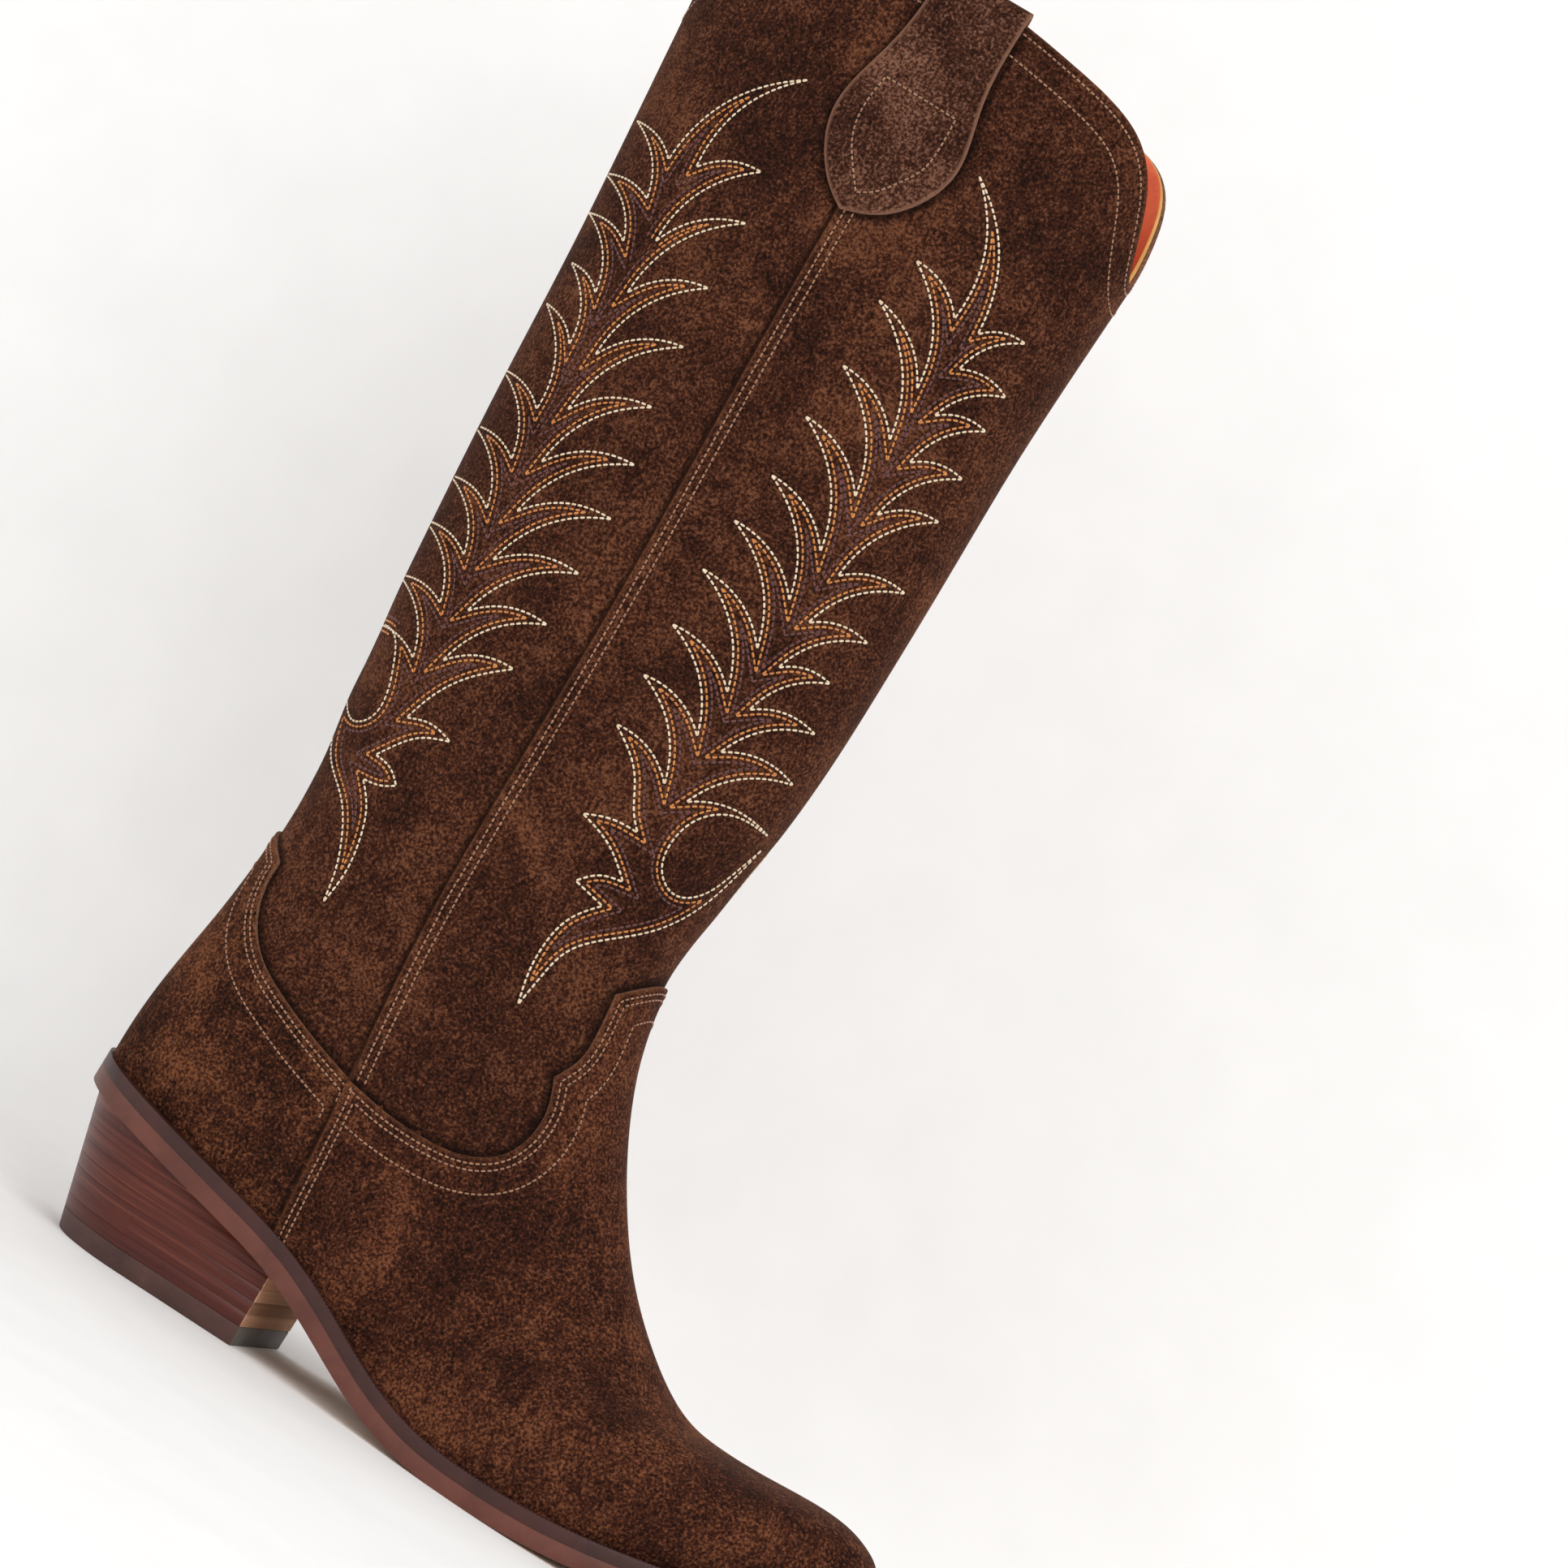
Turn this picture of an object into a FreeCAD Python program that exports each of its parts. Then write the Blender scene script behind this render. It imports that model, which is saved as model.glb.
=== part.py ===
import FreeCAD, Part
import math
import os
from collections import namedtuple
from FreeCAD import Vector

# A right western boot with a tall suede shaft, a stacked leather heel and a welted leather sole.
# Millimetres. The origin is the centre of the heel's ground face, +X points to the toe, +Z up and
# -Y to the outer (lateral) side of the foot. The outside of the shaft leather is the base surface:
# every upper piece is a layer at a stated distance from it, cut to its pattern outline.

# ---- leather and lining thicknesses, as distances outwards from the base surface
SUEDE = 1.4
LINING = 1.2
OVERLAY_OUT = SUEDE
BASE = 0.0
LINING_OUT = -SUEDE
LINING_IN = -SUEDE - LINING
STRAP_IN = LINING_IN - SUEDE

# ---- sole stack, measured square to the tread line
OUTSOLE = 5.4
WELT = 4.2
CORK = 3.2
INSOLE = 2.6
SOCK = 1.2
UNDERLAP = 9.0          # how far a hidden edge runs on below the vamp that covers it
BACK_UNDERLAP = 12.0    # the same below the heel cover

# ---- heel
TOP_LIFT = 6.6
LIFT = 4.25
HEEL_TOP = 47.0
BREAST_X = 35.0
GROUND_BACK_X = -36.8
SEAT_BACK_X = -49.6
GROUND_HALF_WIDTH = 27.5
SEAT_HALF_WIDTH = 32.5
BREAST_HALF_WIDTH = 26.5
SEAT_BREAST_HALF_WIDTH = 29.5
NAIL_RADIUS = 1.1
NAIL_HEAD_RADIUS = 2.2
NAIL_HEAD = 1.0
NAIL_PLACES = [(-30, 0), (-18, -17), (-18, 17), (6, -17), (6, 17), (24, 0)]

# ---- steel shank in the waist
SHANK_BACK_X = -12.0
SHANK_FRONT_X = 84.0
SHANK_HALF_WIDTH = 7.0
SHANK_THICKNESS = 1.6

# ---- pull straps
STRAP_X = 20.7           # middle of the strap's neck
STRAP_NECK = 15.0        # half the neck's width
STRAP_TOP_Z = 463.1
STRAP_INNER_Z = 420.0    # lower end of the leg inside the shaft
STRAP_FRONT_EDGE = [(35.6, 450.6), (37.4, 431), (40.9, 409.5), (36.4, 397.6), (27.3, 388.5)]
STRAP_BACK_EDGE = [(6, 450.9), (2.9, 431.4), (-1, 409.3), (4.9, 395), (10.7, 388.6)]
STRAP_TIP = (16.8, 384.3)

# ---- pattern zones along the foot
TOE_PUFF_X = 178.0
STIFFENER_X = 52.0
FOOT_LINING_X = 30.0

FAR = 300.0             # beyond the boot on every side
SOLE_SPANS = 4          # long curved faces are made in this many spans
OUTLINE_SPANS = 8

# A ring is one section of the boot, in a plane that holds the Y axis: back and front are its ends
# in the XZ plane, lateral and medial its half widths, peak the place of its widest point from back
# (0) to front (1), back_power and front_power the squareness of its two ends (2 is an ellipse), and
# end_share the part of an offset that also moves the ring forwards, which rounds the toe's layers.
Ring = namedtuple("Ring", "back front lateral medial peak back_power front_power end_share")
RING_POINTS = 20
ANKLE_RING = 6
RINGS = [
    Ring((-76.0, 486), (97.5, 486), 42.0, 42.0, 0.50, 2.1, 2.1, 0),
    Ring((-68.0, 414), (95.0, 414), 42.0, 42.0, 0.50, 2.1, 2.1, 0),
    Ring((-60.8, 343), (92.8, 343), 41.5, 41.5, 0.50, 2.1, 2.1, 0),
    Ring((-55.8, 275), (93.6, 275), 41.0, 41.0, 0.50, 2.1, 2.1, 0),
    Ring((-50.2, 220), (91.7, 220), 40.0, 40.0, 0.50, 2.1, 2.1, 0),
    Ring((-44.2, 175), (86.0, 177), 38.0, 38.0, 0.50, 2.1, 2.1, 0),
    Ring((-41.2, 142), (86.0, 147), 36.0, 36.0, 0.50, 2.2, 2.1, 0),
    Ring((-43.4, 108), (96.6, 117), 34.5, 34.5, 0.46, 2.4, 2.1, 0),
    Ring((-47.4, 80), (110.5, 94), 33.5, 33.0, 0.42, 2.6, 2.1, 0),
    Ring((-48.6, 55), (127.5, 73.6), 32.2, 31.2, 0.40, 2.7, 2.2, 0),
    Ring((-44.0, 32), (150.0, 56.0), 32.3, 31.0, 0.58, 2.2, 2.2, 0),
    Ring((-5.0, 8), (172.0, 49.2), 37.2, 34.8, 0.66, 1.45, 2.2, 0),
    Ring((52.0, -10), (192.0, 49.8), 40.4, 38.8, 0.50, 2.0, 2.3, 0),
    Ring((108.0, -14), (207.0, 50.8), 40.5, 41.0, 0.44, 2.2, 2.3, 0),
    Ring((150.0, -10), (218.5, 50.2), 32.4, 36.6, 0.44, 2.3, 2.3, 0),
    Ring((184.0, -4), (227.0, 47.6), 22.8, 27.5, 0.46, 2.3, 2.3, 0.1),
    Ring((208.0, 2), (232.0, 43.8), 17.3, 21.5, 0.46, 2.3, 2.3, 0.3),
    Ring((223.0, 8), (234.6, 39.6), 13.2, 17.3, 0.48, 2.3, 2.3, 0.6),
    Ring((230.5, 13), (235.8, 36.0), 10.4, 14.0, 0.50, 2.2, 2.2, 0.9),
    Ring((234.5, 18), (236.6, 31.5), 6.0, 8.5, 0.50, 2.0, 2.0, 1),
]

# ---- pattern lines in the side view, as X and Z, from the back or the top
TOPLINE = [(-73, 407), (-68, 425.5), (-60, 441.5), (-46.2, 451.3), (-30.9, 455.9), (-14.4, 458.2), (4.5, 459.8),
           (20.9, 460.7), (37.8, 459.2), (54.2, 456.6), (69.1, 453.5), (79.4, 449), (86.7, 441), (91.4, 428.7),
           (94.8, 412.7), (98, 395)]
SIDE_SEAM = [(15.6, 490), (16, 398), (17, 348), (18.8, 299), (20.6, 250), (20.9, 190), (21.6, 134), (25.4, 91),
             (28, 62), (30, 37), (33, -40)]
VAMP_SCOOP = [(25.6, 87.2), (39.8, 84.7), (54.7, 84.3), (66.9, 86.2), (76.2, 92.3), (79.8, 100.7), (79.8, 110),
              (76.3, 119.7)]
VAMP_WING = [(76.3, 119.7), (79.3, 127.1), (79.3, 137.9), (77.8, 150)]
VAMP_TIP = [(77.8, 150), (82.8, 156.2), (91, 167)]
COUNTER_SCOOP = [(25.6, 87.2), (10.1, 91.7), (-5.6, 97.4), (-19.2, 104.3), (-27.1, 112.7), (-30.7, 121.1),
                 (-31.4, 130.1)]
COUNTER_TIP = [(-31.4, 130.1), (-37.5, 134.4), (-52, 144)]

# ---- sole lines: the tread line in the side view and the outline in plan
TREAD = [(-62, 46.6), (-50, 44.0), (-20, 37.6), (10, 31.3), (34, 25.4), (50, 19.0), (66, 11.6), (82, 5.3),
         (100, 1.1), (122, 0), (146, 0.9), (175, 4.6), (205, 10.8), (240, 20.2), (250, 23.2)]
OUTLINE_LATERAL = [(-47.4, -16), (-36, -27.6), (-14, -33.2), (10, -34.2), (35, -33.8), (55, -34),
                   (80, -37.8), (108, -43.6), (134, -46.6), (160, -43.8), (186, -35.2), (210, -25.4),
                   (229, -18), (239, -11.5)]
OUTLINE_MEDIAL = [(239, 15.5), (229, 22), (210, 29.6), (186, 39.2), (160, 45.4), (134, 45.2), (108, 41.8),
                  (80, 35.8), (55, 32), (35, 32), (10, 33), (-14, 32.9), (-36, 27.5), (-47.4, 16)]
OUTLINE_HEEL = (-51.4, 0)
OUTLINE_TOE = (241.4, 2.5)


def spans(spline, count):
    """A spline as count edges that follow each other, so that no face grows too long."""
    first, last = spline.FirstParameter, spline.LastParameter
    cuts = [first + (last - first) * index / count for index in range(count + 1)]
    return [spline.toShape(start, end) for start, end in zip(cuts, cuts[1:])]


def curve(points, count=1):
    """Smooth edges through points of the side view."""
    spline = Part.BSplineCurve()
    spline.interpolate([Vector(x, 0, z) for x, z in points])
    return spans(spline, count)


def straight(points):
    """Straight edges through points of the side view."""
    corners = [Vector(x, 0, z) for x, z in points]
    return [Part.makeLine(a, b) for a, b in zip(corners, corners[1:])]


def across(edges):
    """The solid that a closed side-view outline sweeps right across the boot."""
    face = Part.Face(Part.Wire(Part.__sortEdges__(edges)))
    face.translate(Vector(0, -FAR, 0))
    return face.extrude(Vector(0, 2 * FAR, 0))


def moved(points, dx, dz):
    return [(x + dx, z + dz) for x, z in points]


def ring_curve(ring, offset):
    """One closed section of the boot, grown by offset in its own plane."""
    back = Vector(ring.back[0], 0, ring.back[1])
    front = Vector(ring.front[0], 0, ring.front[1])
    along = (front - back).normalize()
    forwards = Vector(0, 1, 0).cross(along) * (offset * ring.end_share)
    length = (front - back).Length + 2 * offset
    start = back - along * offset + forwards
    points = []
    for index in range(RING_POINTS):
        angle = 2 * math.pi * index / RING_POINTS
        power, reach = ring.back_power, ring.peak
        if math.cos(angle) > 0:
            power, reach = ring.front_power, 1 - ring.peak
        run = math.copysign(abs(math.cos(angle)) ** (2 / power), math.cos(angle))
        rise = math.copysign(abs(math.sin(angle)) ** (2 / power), math.sin(angle))
        width = ring.lateral if rise > 0 else ring.medial
        sideways = Vector(0, (width + offset) * rise, 0)
        points.append(start + along * (length * (ring.peak + reach * run)) - sideways)
    spline = Part.BSplineCurve()
    spline.interpolate(points, PeriodicFlag=True, Parameters=list(range(RING_POINTS + 1)))
    return spline


def ring_stations():
    """Running distance of each ring's centre along the boot, from the top to the toe."""
    centres = [Vector(ring.back[0] + ring.front[0], 0, ring.back[1] + ring.front[1]) / 2 for ring in RINGS]
    stations = [0.0]
    for before, after in zip(centres, centres[1:]):
        stations.append(stations[-1] + (after - before).Length)
    return stations


def body(offset):
    """The whole boot as one solid, whose skin is offset from the base surface."""
    sections = [ring_curve(ring, offset) for ring in RINGS]
    stations = ring_stations()
    runs = []
    for pole in range(1, sections[0].NbPoles + 1):
        run = Part.BSplineCurve()
        run.interpolate([section.getPole(pole) for section in sections], Parameters=stations)
        runs.append(run)
    poles = [[run.getPole(row) for run in runs] for row in range(1, runs[0].NbPoles + 1)]
    skin = Part.BSplineSurface()
    skin.buildFromPolesMultsKnots(
        poles, runs[0].getMultiplicities(), sections[0].getMultiplicities(),
        runs[0].getKnots(), sections[0].getKnots(), False, True, runs[0].Degree, sections[0].Degree)
    around = (0, RING_POINTS / 2, RING_POINTS)
    along = (stations[0], stations[ANKLE_RING], stations[-1])
    faces = []
    for u0, u1 in zip(along, along[1:]):
        for v0, v1 in zip(around, around[1:]):
            faces.append(skin.toShape(u0, u1, v0, v1))
    for section in (sections[0], sections[-1]):
        faces.append(Part.Face(Part.Wire(spans(section, 2))))
    shell = Part.makeShell(faces)
    shell.sewShape()
    solid = Part.Solid(shell)
    solid.fix(1e-4, 1e-4, 1e-3)
    return solid


def raised(points, height):
    """Side-view points moved square to their line by height."""
    result = []
    for index, (x, z) in enumerate(points):
        x0, z0 = points[max(index - 1, 0)]
        x1, z1 = points[min(index + 1, len(points) - 1)]
        length = math.hypot(x1 - x0, z1 - z0)
        result.append((x - (z1 - z0) / length * height, z + (x1 - x0) / length * height))
    return result


def slab(low, high):
    """The curved layer between two heights above the tread line."""
    bottom = raised(TREAD, low)
    top = raised(TREAD, high)
    ends = straight([bottom[-1], top[-1]]) + straight([bottom[0], top[0]])
    return across(curve(bottom, SOLE_SPANS) + curve(top, SOLE_SPANS) + ends)


def below_line(height):
    """Everything under the line at a height above the tread line."""
    line = raised(TREAD, height)
    return across(curve(line, SOLE_SPANS) + straight([line[-1], (FAR, line[-1][1]), (FAR, -60), (-FAR, -60),
                                                      (-FAR, line[0][1]), line[0]]))


def upright(points):
    """The vertical solid whose plan is a smooth closed outline through points."""
    spline = Part.BSplineCurve()
    spline.interpolate([Vector(x, y, -FAR / 2) for x, y in points], PeriodicFlag=True)
    return Part.Face(Part.Wire(spans(spline, OUTLINE_SPANS))).extrude(Vector(0, 0, FAR))


def below_topline():
    closing = straight([TOPLINE[-1], (FAR, TOPLINE[-1][1]), (FAR, -50), (-FAR, -50), (-FAR, TOPLINE[0][1]),
                        TOPLINE[0]])
    return across(curve(TOPLINE) + closing)


def front_of_seam():
    return across(curve(SIDE_SEAM) + straight([SIDE_SEAM[-1], (FAR, -40), (FAR, 490), SIDE_SEAM[0]]))


def below_vamp_line(dx=0.0, dz=0.0):
    """Everything under the vamp's top edge, moved by dx and dz."""
    scoop, wing, tip = (moved(part, dx, dz) for part in (VAMP_SCOOP, VAMP_WING, VAMP_TIP))
    closing = straight([tip[-1], (FAR, tip[-1][1]), (FAR, -60), (-FAR, -60), (-FAR, scoop[0][1]), scoop[0]])
    return across(curve(scoop) + curve(wing) + curve(tip) + closing)


def below_counter_line(dx=0.0, dz=0.0):
    """Everything under the heel cover's top edge, moved by dx and dz."""
    scoop, tip = (moved(part, dx, dz) for part in (COUNTER_SCOOP, COUNTER_TIP))
    closing = straight([tip[-1], (-FAR, tip[-1][1]), (-FAR, -60), (FAR, -60), (FAR, scoop[0][1]), scoop[0]])
    return across(curve(scoop) + curve(tip) + closing)


def ahead_of(x):
    """Everything in front of an upright line."""
    return across(straight([(x, -50), (x, FAR), (FAR * 2, FAR), (FAR * 2, -50), (x, -50)]))


def strap_outline():
    """The lobed outline of a pull strap in the side view, reaching just over the topline."""
    front = [(STRAP_X + STRAP_NECK, STRAP_TOP_Z)] + STRAP_FRONT_EDGE + [STRAP_TIP]
    back = [(STRAP_X - STRAP_NECK, STRAP_TOP_Z)] + STRAP_BACK_EDGE + [STRAP_TIP]
    return across(curve(front) + curve(back) + straight([front[0], back[0]]))


def side_half(sign):
    """The half space on one side: -1 lateral, 1 medial."""
    return Part.makeBox(2 * FAR, FAR, 3 * FAR, Vector(-FAR, 0 if sign > 0 else -FAR, -FAR))


def heel_wire(z, back_x, half_width, breast_half_width):
    """The D-shaped outline of the heel at one height."""
    centre_x = back_x + half_width * 1.05
    points = []
    for index in range(9):
        angle = math.pi * (index / 8 - 0.5)
        x = centre_x - (centre_x - back_x) * math.cos(angle)
        points.append(Vector(x, half_width * math.sin(angle), z))
    spline = Part.BSplineCurve()
    spline.interpolate(points)
    low = Vector(BREAST_X, -breast_half_width, z)
    high = Vector(BREAST_X, breast_half_width, z)
    sides = [Part.makeLine(points[-1], high), Part.makeLine(high, low), Part.makeLine(low, points[0])]
    return Part.Wire([spline.toShape()] + sides)


def heel_body():
    """The whole heel, from the ground to above the seat."""
    ground = heel_wire(0, GROUND_BACK_X, GROUND_HALF_WIDTH, BREAST_HALF_WIDTH)
    seat = heel_wire(HEEL_TOP, SEAT_BACK_X, SEAT_HALF_WIDTH, SEAT_BREAST_HALF_WIDTH)
    return Part.makeLoft([ground, seat], True, True)


def level(z0, z1):
    return Part.makeBox(2 * FAR, 2 * FAR, z1 - z0, Vector(-FAR, -FAR, z0))


def nails():
    """The heel nails, driven up through the lifts into the outsole."""
    group = []
    for x, y in NAIL_PLACES:
        top = HEEL_TOP - 2 - (x - SEAT_BACK_X) * 0.21
        shank = Part.makeCylinder(NAIL_RADIUS, top - TOP_LIFT, Vector(x, y, TOP_LIFT))
        head = Part.makeCylinder(NAIL_HEAD_RADIUS, NAIL_HEAD, Vector(x, y, TOP_LIFT))
        group.append(shank.fuse(head).removeSplitter())
    return Part.makeCompound(group)


def upper_pieces():
    """The leather, stiffeners and linings of the shaft and the foot."""
    overlay, base, inner, bare = (body(offset) for offset in (OVERLAY_OUT, BASE, LINING_OUT, LINING_IN))
    under_welt = below_line(OUTSOLE)
    wall = [shell.cut(under_welt) for shell in (overlay.cut(base), base.cut(inner), inner.cut(bare))]
    cover, middle, lining = wall
    topline = below_topline()
    front = front_of_seam()
    vamp_area = below_vamp_line()
    counter_area = below_counter_line()
    vamp_hidden = below_vamp_line(UNDERLAP, -UNDERLAP)
    counter_hidden = below_counter_line(-BACK_UNDERLAP, -BACK_UNDERLAP)
    shaft = middle.common(topline)
    foot_front = middle.common(front).common(vamp_hidden)
    foot_back = middle.cut(front).common(counter_hidden)
    foot = foot_front.fuse(foot_back).removeSplitter()
    pieces = {
        "vamp": cover.common(front).common(vamp_area),
        "heel_counter_cover": cover.cut(front).common(counter_area),
        "shaft_front": shaft.common(front).cut(vamp_hidden),
        "shaft_back": shaft.cut(front).cut(counter_hidden),
        "toe_puff": foot.common(ahead_of(TOE_PUFF_X)),
        "vamp_interlining": foot.cut(ahead_of(TOE_PUFF_X)).common(ahead_of(STIFFENER_X)),
        "heel_stiffener": foot.cut(ahead_of(STIFFENER_X)),
    }
    lining_shaft = lining.common(topline)
    pieces["shaft_lining_front"] = lining_shaft.common(front).cut(vamp_hidden)
    pieces["shaft_lining_back"] = lining_shaft.cut(front).cut(counter_hidden)
    lining_foot = lining.common(front).common(vamp_hidden).fuse(lining.cut(front).common(counter_hidden))
    lining_foot = lining_foot.removeSplitter()
    pieces["vamp_lining"] = lining_foot.common(ahead_of(FOOT_LINING_X))
    pieces["heel_lining"] = lining_foot.cut(ahead_of(FOOT_LINING_X))
    strap_wall = overlay.cut(body(STRAP_IN)).common(strap_outline())
    strap_wall = strap_wall.cut(base.cut(bare).common(topline)).cut(bare.common(level(0, STRAP_INNER_Z)))
    pieces["pull_strap_lateral"] = strap_wall.common(side_half(-1))
    pieces["pull_strap_medial"] = strap_wall.common(side_half(1))
    return pieces, overlay, bare


def bottom_pieces(overlay, bare):
    """The welt, the soles and everything under the foot."""
    outline = upright([OUTLINE_HEEL] + OUTLINE_LATERAL + [OUTLINE_TOE] + OUTLINE_MEDIAL)
    inside = bare.common(slab(OUTSOLE, OUTSOLE + CORK + INSOLE + SOCK))
    shank_low = OUTSOLE + 0.8
    shank = slab(shank_low, shank_low + SHANK_THICKNESS).common(
        Part.makeBox(SHANK_FRONT_X - SHANK_BACK_X, 2 * SHANK_HALF_WIDTH, FAR,
                     Vector(SHANK_BACK_X, -SHANK_HALF_WIDTH, -FAR / 2)))
    return {
        "welt": outline.common(slab(OUTSOLE, OUTSOLE + WELT)).cut(overlay),
        "outsole": outline.common(slab(0, OUTSOLE)).cut(nails()),
        "cork_filler": inside.common(slab(OUTSOLE, OUTSOLE + CORK)).cut(shank),
        "steel_shank": shank,
        "insole_board": inside.common(slab(OUTSOLE + CORK, OUTSOLE + CORK + INSOLE)),
        "sock_liner": inside.common(slab(OUTSOLE + CORK + INSOLE, OUTSOLE + CORK + INSOLE + SOCK)),
    }


def heel_pieces():
    """The top lift, the stacked lifts and the nails that hold them."""
    whole = heel_body().common(below_line(0))
    pieces = {"top_lift": whole.common(level(0, TOP_LIFT)), "heel_nails": nails()}
    stack = whole.cut(nails())
    z = TOP_LIFT
    number = 1
    while z < HEEL_TOP - LIFT:
        pieces["heel_lift_%d" % number] = stack.common(level(z, z + LIFT))
        z += LIFT
        number += 1
    return pieces


def main():
    pieces, overlay, bare = upper_pieces()
    pieces.update(bottom_pieces(overlay, bare))
    pieces.update(heel_pieces())
    os.makedirs("parts", exist_ok=True)
    for name, shape in pieces.items():
        box = shape.optimalBoundingBox(False)
        print("%-22s solids %d valid %s volume %9.0f  x %6.1f %6.1f  y %6.1f %6.1f  z %6.1f %6.1f" % (
            name, len(shape.Solids), shape.isValid(), shape.Volume,
            box.XMin, box.XMax, box.YMin, box.YMax, box.ZMin, box.ZMax))
        shape.exportStep("parts/%s.step" % name)


main()
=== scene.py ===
"""A right western boot: suede panels with stitched flames, a welted leather sole and a stacked heel.

Metres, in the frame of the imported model: +X to the toe, +Z up and -Y to the outer side of the foot.
"""
import logging
import math
from dataclasses import dataclass, field
from enum import Enum
from typing import Callable, Sequence

import bmesh
import bpy
import numpy as np
from mathutils import Matrix, Vector, noise
from mathutils.bvhtree import BVHTree
from mathutils.kdtree import KDTree


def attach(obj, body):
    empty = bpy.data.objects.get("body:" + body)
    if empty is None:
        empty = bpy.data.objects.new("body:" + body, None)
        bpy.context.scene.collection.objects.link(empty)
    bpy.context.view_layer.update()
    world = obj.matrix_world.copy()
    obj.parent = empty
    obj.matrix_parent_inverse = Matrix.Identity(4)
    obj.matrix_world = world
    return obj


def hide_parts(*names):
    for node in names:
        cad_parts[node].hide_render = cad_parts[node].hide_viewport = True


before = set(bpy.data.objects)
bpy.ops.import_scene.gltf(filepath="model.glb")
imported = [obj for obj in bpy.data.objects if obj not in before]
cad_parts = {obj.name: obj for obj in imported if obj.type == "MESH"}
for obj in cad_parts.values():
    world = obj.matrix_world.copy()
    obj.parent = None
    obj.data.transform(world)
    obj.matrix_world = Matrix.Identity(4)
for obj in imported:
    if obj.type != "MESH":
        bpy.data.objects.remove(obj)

LOG = logging.getLogger("boot")
MM = 0.001
BODY = "root"
Colour = tuple[float, float, float, float]

# ---- layers, as distances outwards from the outside of the shaft leather
SUEDE = 1.4 * MM
LINING = 1.2 * MM
OUTSOLE = 5.4 * MM
WELT = 4.2 * MM
UNDERLAP = 9 * MM
BACK_UNDERLAP = 12 * MM
HEEL_BREAST_X = 35 * MM
CUT_EDGE_ANGLE = 50
SHORTEST_RUN = 5
VIEW_FROM = 0.2

# ---- pattern lines in the side view, in millimetres, as X and Z
TOPLINE = [(-73, 407), (-68, 425.5), (-60, 441.5), (-46.2, 451.3), (-30.9, 455.9), (-14.4, 458.2),
           (4.5, 459.8), (20.9, 460.7), (37.8, 459.2), (54.2, 456.6), (69.1, 453.5), (79.4, 449),
           (86.7, 441), (91.4, 428.7), (94.8, 412.7), (98, 395)]
SIDE_SEAM = [(15.6, 490), (16, 398), (17, 348), (18.8, 299), (20.6, 250), (20.9, 190), (21.6, 134),
             (25.4, 91), (28, 62), (30, 37), (33, -40)]
VAMP_SCOOP = [(25.6, 87.2), (39.8, 84.7), (54.7, 84.3), (66.9, 86.2), (76.2, 92.3), (79.8, 100.7),
              (79.8, 110), (76.3, 119.7)]
VAMP_WING = [(76.3, 119.7), (79.3, 127.1), (79.3, 137.9), (77.8, 150)]
VAMP_TIP = [(77.8, 150), (82.8, 156.2), (91, 167)]
COUNTER_SCOOP = [(25.6, 87.2), (10.1, 91.7), (-5.6, 97.4), (-19.2, 104.3), (-27.1, 112.7),
                 (-30.7, 121.1), (-31.4, 130.1)]
COUNTER_TIP = [(-31.4, 130.1), (-37.5, 134.4), (-52, 144)]
TREAD = [(-62, 46.6), (-50, 44.0), (-20, 37.6), (10, 31.3), (34, 25.4), (50, 19.0), (66, 11.6),
         (82, 5.3), (100, 1.1), (122, 0), (146, 0.9), (175, 4.6), (205, 10.8), (240, 20.2),
         (250, 23.2)]
OUTLINE = [(-51.4, 0), (-47.4, -16), (-36, -27.6), (-14, -33.2), (10, -34.2), (35, -33.8), (55, -34),
           (80, -37.8), (108, -43.6), (134, -46.6), (160, -43.8), (186, -35.2), (210, -25.4),
           (229, -18), (239, -11.5), (241.4, 2.5), (239, 15.5), (229, 22), (210, 29.6), (186, 39.2),
           (160, 45.4), (134, 45.2), (108, 41.8), (80, 35.8), (55, 32), (35, 32), (10, 33),
           (-14, 32.9), (-36, 27.5), (-47.4, 16)]
STRAP_FRONT = [(35.7, 463.1), (35.6, 450.6), (37.4, 431), (40.9, 409.5), (36.4, 397.6), (27.3, 388.5),
               (16.8, 384.3)]
STRAP_BACK = [(5.7, 463.1), (6, 450.9), (2.9, 431.4), (-1, 409.3), (4.9, 395), (10.7, 388.6),
              (16.8, 384.3)]
STRAP_SHIELD = [(7.9, 425.2), (7.2, 409.6), (10.1, 402.1), (14.3, 396.4), (18.5, 391), (22.9, 393.5),
                (28.1, 399.7), (32.2, 406.6), (33.2, 414), (32.8, 424.6)]


@dataclass(frozen=True)
class Ring:
    """One section of the boot, in a plane that holds the Y axis, in millimetres."""

    back: tuple[float, float]
    front: tuple[float, float]
    lateral: float
    medial: float
    peak: float
    back_power: float
    front_power: float


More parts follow.
